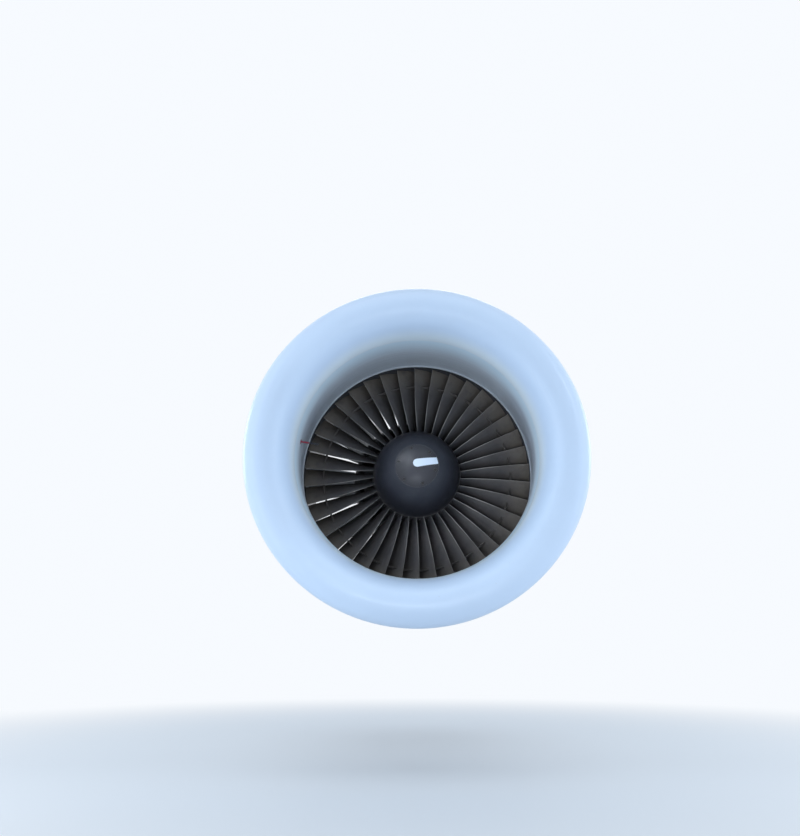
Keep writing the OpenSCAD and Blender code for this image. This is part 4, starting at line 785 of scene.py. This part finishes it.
def seen_rays(tree):
    """One for what the camera, gloss or glass shows, and none for the light that falls on things."""
    rays = tree.nodes.new("ShaderNodeLightPath")
    share = rays.outputs["Is Camera Ray"]
    for kind in ("Is Glossy Ray", "Is Transmission Ray"):
        either = tree.nodes.new("ShaderNodeMath")
        either.operation = "MAXIMUM"
        tree.links.new(share, either.inputs[0])
        tree.links.new(rays.outputs[kind], either.inputs[1])
        share = either.outputs[0]
    return share


def floor_finish():
    """Pale floor that keeps its shadow near the engine and fades to white far away."""
    material = finish_of("studio_floor", (0.78, 0.80, 0.82), 0.6)
    tree = material.node_tree
    coordinates = tree.nodes.new("ShaderNodeTexCoord")
    length = tree.nodes.new("ShaderNodeVectorMath")
    length.operation = "LENGTH"
    tree.links.new(coordinates.outputs["Object"], length.inputs[0])
    far = spread(material, length.outputs["Value"], 4.5, 9.0)
    share = product(material, far, seen_rays(tree))
    white = tree.nodes.new("ShaderNodeEmission")
    white.inputs["Color"].default_value = BACKDROP_WHITE
    white.inputs["Strength"].default_value = 1.0
    blend = tree.nodes.new("ShaderNodeMixShader")
    tree.links.new(share, blend.inputs[0])
    tree.links.new(shader_of(material).outputs[0], blend.inputs[1])
    tree.links.new(white.outputs[0], blend.inputs[2])
    tree.links.new(blend.outputs[0], tree.nodes["Material Output"].inputs["Surface"])
    return material


def pale_world():
    """White seen by the camera, in gloss and through glass; soft bluish light elsewhere."""
    world = bpy.data.worlds.new("studio")
    bpy.context.scene.world = world
    world.use_nodes = True
    tree = world.node_tree
    tree.nodes.clear()
    ambient = tree.nodes.new("ShaderNodeBackground")
    ambient.inputs["Color"].default_value = AMBIENT_BLUE
    ambient.inputs["Strength"].default_value = 0.53
    backdrop = tree.nodes.new("ShaderNodeBackground")
    backdrop.inputs["Color"].default_value = BACKDROP_WHITE
    backdrop.inputs["Strength"].default_value = 1.0
    mix = tree.nodes.new("ShaderNodeMixShader")
    tree.links.new(seen_rays(tree), mix.inputs[0])
    tree.links.new(ambient.outputs[0], mix.inputs[1])
    tree.links.new(backdrop.outputs[0], mix.inputs[2])
    output = tree.nodes.new("ShaderNodeOutputWorld")
    tree.links.new(mix.outputs[0], output.inputs["Surface"])


def lamp(name, place_at, aim, size, power, fan_out=180, in_gloss=True):
    """Rectangular lamp aimed at a point; fan_out is the angle of its beam in degrees."""
    light = bpy.data.lights.new(name, "AREA")
    light.shape = "RECTANGLE"
    light.size, light.size_y = size
    light.energy = power
    light.color = LAMP_COLOUR
    light.spread = math.radians(fan_out)
    holder = bpy.data.objects.new(name, light)
    bpy.context.scene.collection.objects.link(holder)
    holder.location = place_at
    holder.visible_glossy = in_gloss
    holder.rotation_mode = "QUATERNION"
    holder.rotation_quaternion = (Vector(aim) - Vector(place_at)).to_track_quat("-Z", "Y")


def camera():
    """Camera below and ahead of the intake, as the photograph shows it."""
    view = bpy.data.cameras.new("photo_view")
    view.lens = 32.99
    view.sensor_width = 36
    view.shift_x = -0.0203
    holder = bpy.data.objects.new("photo_view", view)
    bpy.context.scene.collection.objects.link(holder)
    holder.location = CAMERA_SPOT
    holder.rotation_euler = (math.radians(90 + CAMERA_PITCH), 0, 0)
    bpy.context.scene.camera = holder


floor()
pale_world()
lamp("overhead", (0, -4.2, 4.2), (0, -1.6, AXIS_Z), (6.0, 4.0), 84)
lamp("left_strip", (-4.5, -4.0, 1.0), (0, -1.8, AXIS_Z), (0.2, 4.0), 18)
lamp("right_strip", (4.5, -4.0, 1.0), (0, -1.8, AXIS_Z), (0.2, 4.0), 20)
lamp("low_left_strip", (-4.5, -4.0, -2.48), (0, -1.8, AXIS_Z), (0.12, 4.0), 20)
lamp("low_front", (0, -6.4, -3.35), (0, -1.6, AXIS_Z + 0.65), (3.2, 0.5), 34.5)
lamp("left_soft", (-9.0, -3.8, -1.0), (1.1, -1.75, AXIS_Z), (2.4, 5.0), 240, in_gloss=False)
lamp("right_soft", (9.0, -3.8, -1.0), (-1.1, -1.75, AXIS_Z), (2.4, 5.0), 240, in_gloss=False)
lamp("spinner_beam", (-2.34, -5.61, 1.26), (-0.1, -1.24, -1.2), (0.35, 0.35), 0.5, fan_out=12)
lamp("low_beam", (-1.0, -5.8, -3.6), (0.3, -0.85, AXIS_Z), (1.4, 0.5), 1.4, fan_out=20, in_gloss=False)
lamp("rear_overhead", (0, 5.5, 4.5), (0, 1.5, AXIS_Z), (5.0, 4.0), 150)
lamp("left_fill", (-6.5, 2.0, 0.5), (0, 1.0, AXIS_Z), (3.0, 3.0), 60)
lamp("right_fill", (6.5, 2.0, 0.5), (0, 1.0, AXIS_Z), (3.0, 3.0), 60)
camera()

bpy.context.scene.view_settings.view_transform = "Standard"
